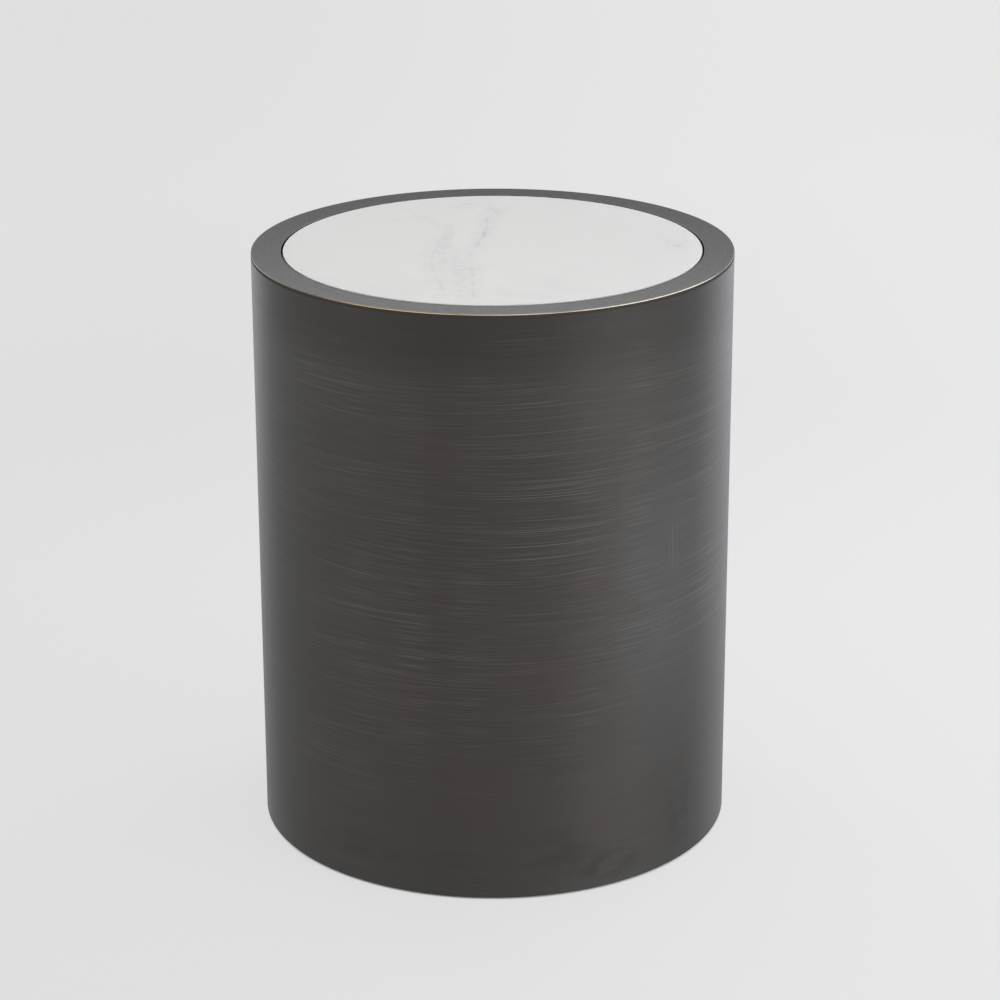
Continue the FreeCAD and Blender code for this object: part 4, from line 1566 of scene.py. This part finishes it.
@dataclass
class Studio:
    """The pale paper floor, the soft lamps, the sky light and the camera.

    Attributes:
        paper: Colour of the floor's paper.
        paper_fibre: Its second colour, in soft clouds.
        cloud_size: Size of one of these clouds.
        floor_radius: Radius of the round floor.
        floor_rings: Rings of its mesh.
        floor_columns: Sectors of its mesh.
        backdrop: Colour of the backdrop, and of the floor's glow to the left.
        floor_glow_painted_light_right: Painted light: colour of the floor's glow to the right, lighter where
            the lamps' light falls.
        backdrop_reach: Distance to either side at which the painted light of the glow has its full colour.
        near: Distance up to which the glow has its near share.
        near_share: Share of the floor's brightness that is its own, near the table.
        far: Distance from which the glow has its far share.
        far_share: The same share far off.
        glow_start: Distance from the axis where the glow starts, at the drum's edge.
        glow_full: Distance where it has its full share.
        clear_radius: Reach of the paper that lets the lamp below it through.
        sky: Colour of the even light from all round.
        sky_strength: Its strength.
        camera_place: Where the camera stands.
        camera_pitch: Its tilt, upwards, in radians.
        camera_roll: Its turn about its own axis, in radians.
        lens: Its focal length in millimetres, on a film 36 mm wide.
        panels: The soft lamps.
    """

    paper: str = "#e4e4e4"
    paper_fibre: str = "#e6e6e6"
    cloud_size: float = 769.2 * MM
    floor_radius: float = 14.0
    floor_rings: int = 8
    floor_columns: int = 64
    backdrop: str = "#e2e2e2"
    floor_glow_painted_light_right: str = "#e9e9e9"
    backdrop_reach: float = 0.7
    near: float = 0.6
    near_share: float = 0.82
    far: float = 2.4
    far_share: float = 0.97
    glow_start: float = 197.0 * MM
    glow_full: float = 201.0 * MM
    clear_radius: float = 198.0 * MM
    sky: str = "#ffffff"
    sky_strength: float = 0.10
    camera_place: Point = (0.0055, -2.4758, 1.1656)
    camera_pitch: float = -0.3445
    camera_roll: float = -0.0028
    lens: float = 111.04
    panels: tuple[SoftPanel, ...] = (
        SoftPanel("panel_behind", (0.0, 0.7, 0.95), (0.0, -0.2, 0.5), 1.6, 0.35, 5.5),
        SoftPanel("panel_below", (0.3, -0.3, -1.0), (0.0, 0.0, 0.0), 1.4, 1.4, 14.0),
        upright_panel(-140.0, 0.9, 12.5, "#f5f5ff"),
        upright_panel(-90.0, 2.4, 18.8, "#f9faff"),
        upright_panel(-45.0, 1.7, 12.8),
        upright_panel(8.0, 2.5, 18.6),
        upright_panel(52.5, 1.5, 26.8, "#f9faff"),
        upright_panel(82.5, 1.5, 19.4, "#f9faff"),
        upright_panel(130.0, 1.6, 33.0, "#f0f3ff"),
    )

    def seen(self, tree: Tree) -> Socket:
        """Return 1 where the camera, a reflection or a view through glass looks, and 0 elsewhere.

        Args:
            tree: Tree of the material or the world.

        Returns:
            The factor.
        """
        ray = add_node(tree, "ShaderNodeLightPath").outputs
        looking = ray["Is Camera Ray"]
        for other in ("Is Glossy Ray", "Is Transmission Ray"):
            looking = add_node(tree, "ShaderNodeMath", MAXIMUM, {0: looking, 1: ray[other]}).outputs[0]
        return looking

    def glow_share(self, tree: Tree, away: Socket) -> Socket:
        """Return how much of the paper's brightness is its own, where it is looked at.

        Args:
            tree: Tree of the material.
            away: Distance from the drum's axis.

        Returns:
            A factor: none under the drum, the near share round it and the far share far off.
        """
        own = {"Value": away, "From Min": self.near, "From Max": self.far}
        own |= {"To Min": self.near_share, "To Max": self.far_share}
        near_or_far = add_node(tree, "ShaderNodeMapRange", SMOOTH, own).outputs[0]
        edge = {"Value": away, "From Min": self.glow_start, "From Max": self.glow_full}
        edge["To Max"] = near_or_far
        outside = add_node(tree, "ShaderNodeMapRange", SMOOTH, edge).outputs[0]
        return add_node(tree, "ShaderNodeMath", MULTIPLY, {0: self.seen(tree), 1: outside}).outputs[0]

    def clear(self, tree: Tree, away: Socket) -> Socket:
        """Return 1 where the paper is clear: seen from below, and for lamps under the drum.

        Args:
            tree: Tree of the material.
            away: Distance from the drum's axis.

        Returns:
            The factor.
        """
        covered = add_node(tree, "ShaderNodeMath", LESS_THAN, {0: away, 1: self.clear_radius})
        shadow_ray = add_node(tree, "ShaderNodeLightPath").outputs["Is Shadow Ray"]
        passed = add_node(tree, "ShaderNodeMath", MULTIPLY, {0: covered.outputs[0], 1: shadow_ray})
        below = add_node(tree, "ShaderNodeNewGeometry").outputs["Backfacing"]
        return add_node(tree, "ShaderNodeMath", MAXIMUM, {0: below, 1: passed.outputs[0]}).outputs[0]

    def floor(self) -> None:
        """Build the floor as a round sheet of matt paper under the table.

        Part of the paper's own brightness comes from the backdrop's colour, with painted light that makes
        it lighter towards the right, and the rest from the light that falls on it, which keeps the
        table's shadow. Far off nearly all of it is its own, and under the drum none. Seen from below the
        paper is clear, and under the drum it lets the lamp below it through, so that the table's
        underside can be looked at.
        """
        rings = line_points((0.0, 0.0), (self.floor_radius, 0.0), self.floor_rings)
        floor = mesh_piece("studio_floor", [turned(rings, front_to_back(self.floor_columns))])
        material = new_material("studio_paper_matt")
        tree = material.node_tree
        place = add_node(tree, "ShaderNodeTexCoord").outputs["Object"]
        pulp = {"Vector": place, "Scale": 1.0 / self.cloud_size, "Detail": 2.0}
        fibre = add_node(tree, "ShaderNodeTexNoise", {}, pulp).outputs[0]
        pair = {0: fibre, 6: linear(self.paper), 7: linear(self.paper_fibre)}
        tint = add_node(tree, "ShaderNodeMix", COLOURS, pair).outputs[2]
        matt = add_node(tree, "ShaderNodeBsdfDiffuse", {}, {"Color": tint}).outputs[0]
        # Painted light: the glow runs from the backdrop's colour on the left to a lighter one on the right.
        right = {"Value": add_node(tree, "ShaderNodeSeparateXYZ", {}, {0: place}).outputs[0]}
        right |= {"From Min": -self.backdrop_reach, "From Max": self.backdrop_reach}
        turn = add_node(tree, "ShaderNodeMapRange", SMOOTH, right).outputs[0]
        sides = {0: turn, 6: linear(self.backdrop), 7: linear(self.floor_glow_painted_light_right)}
        wall = add_node(tree, "ShaderNodeMix", COLOURS, sides).outputs[2]
        glow = add_node(tree, "ShaderNodeEmission", {}, {"Color": wall}).outputs[0]
        away = add_node(tree, "ShaderNodeVectorMath", LENGTH, {0: place}).outputs["Value"]
        above = {0: self.glow_share(tree, away), 1: matt, 2: glow}
        paper = add_node(tree, "ShaderNodeMixShader", {}, above).outputs[0]
        nothing = add_node(tree, "ShaderNodeBsdfTransparent").outputs[0]
        both = {0: self.clear(tree, away), 1: paper, 2: nothing}
        sheet = add_node(tree, "ShaderNodeMixShader", {}, both).outputs[0]
        add_node(tree, "ShaderNodeOutputMaterial", {}, {"Surface": sheet})
        dress(floor, material)

    def world(self) -> None:
        """Light everything evenly from all round, before a backdrop of the paper's colour."""
        world = bpy.data.worlds.new("studio_light")
        bpy.context.scene.world = world
        world.use_nodes = True
        tree = world.node_tree
        tree.nodes.clear()
        sky = {"Color": linear(self.sky), "Strength": self.sky_strength}
        light = add_node(tree, "ShaderNodeBackground", {}, sky).outputs[0]
        backdrop = {"Color": linear(self.backdrop), "Strength": 1.0}
        wall = add_node(tree, "ShaderNodeBackground", {}, backdrop).outputs[0]
        both = add_node(tree, "ShaderNodeMixShader", {}, {0: self.seen(tree), 1: light, 2: wall})
        add_node(tree, "ShaderNodeOutputWorld", {}, {"Surface": both.outputs[0]})

    def camera(self) -> None:
        """Place the camera: tilted down by its pitch, then turned about its own axis by its roll."""
        data = bpy.data.cameras.new("studio_camera")
        data.lens = self.lens
        camera = bpy.data.objects.new("studio_camera", data)
        bpy.context.scene.collection.objects.link(camera)
        tilt = Euler((math.pi / 2.0 + self.camera_pitch, 0.0, 0.0)).to_matrix()
        turn = tilt @ Matrix.Rotation(self.camera_roll, 3, "Z")
        camera.matrix_world = Matrix.Translation(self.camera_place) @ turn.to_4x4()
        bpy.context.scene.camera = camera

    def build(self) -> None:
        """Set up the studio."""
        self.floor()
        self.world()
        for panel in self.panels:
            panel.build()
        self.camera()
        bpy.context.scene.view_settings.view_transform = "Standard"
        log.info("studio with %d panels", len(self.panels))


# ---------------------------------------------------------------------------------------------


def main() -> None:
    """Build the table and its studio."""
    logging.basicConfig(level=logging.INFO, format="%(message)s")
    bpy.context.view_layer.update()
    Drum().build(SHELL_PATINA.material(), RIM_PATINA.material())
    StoneTop().build(VeinedStone().material())
    zinc, nylon, rubber = ZINC_PLATE.material(), MOULDED_NYLON.material(), SOLE_RUBBER.material()
    for corner in Corner:
        LevellingFoot(corner).build(zinc, nylon, rubber)
    InnerWork().build()
    Studio().build()


if __name__ == "__main__":
    main()
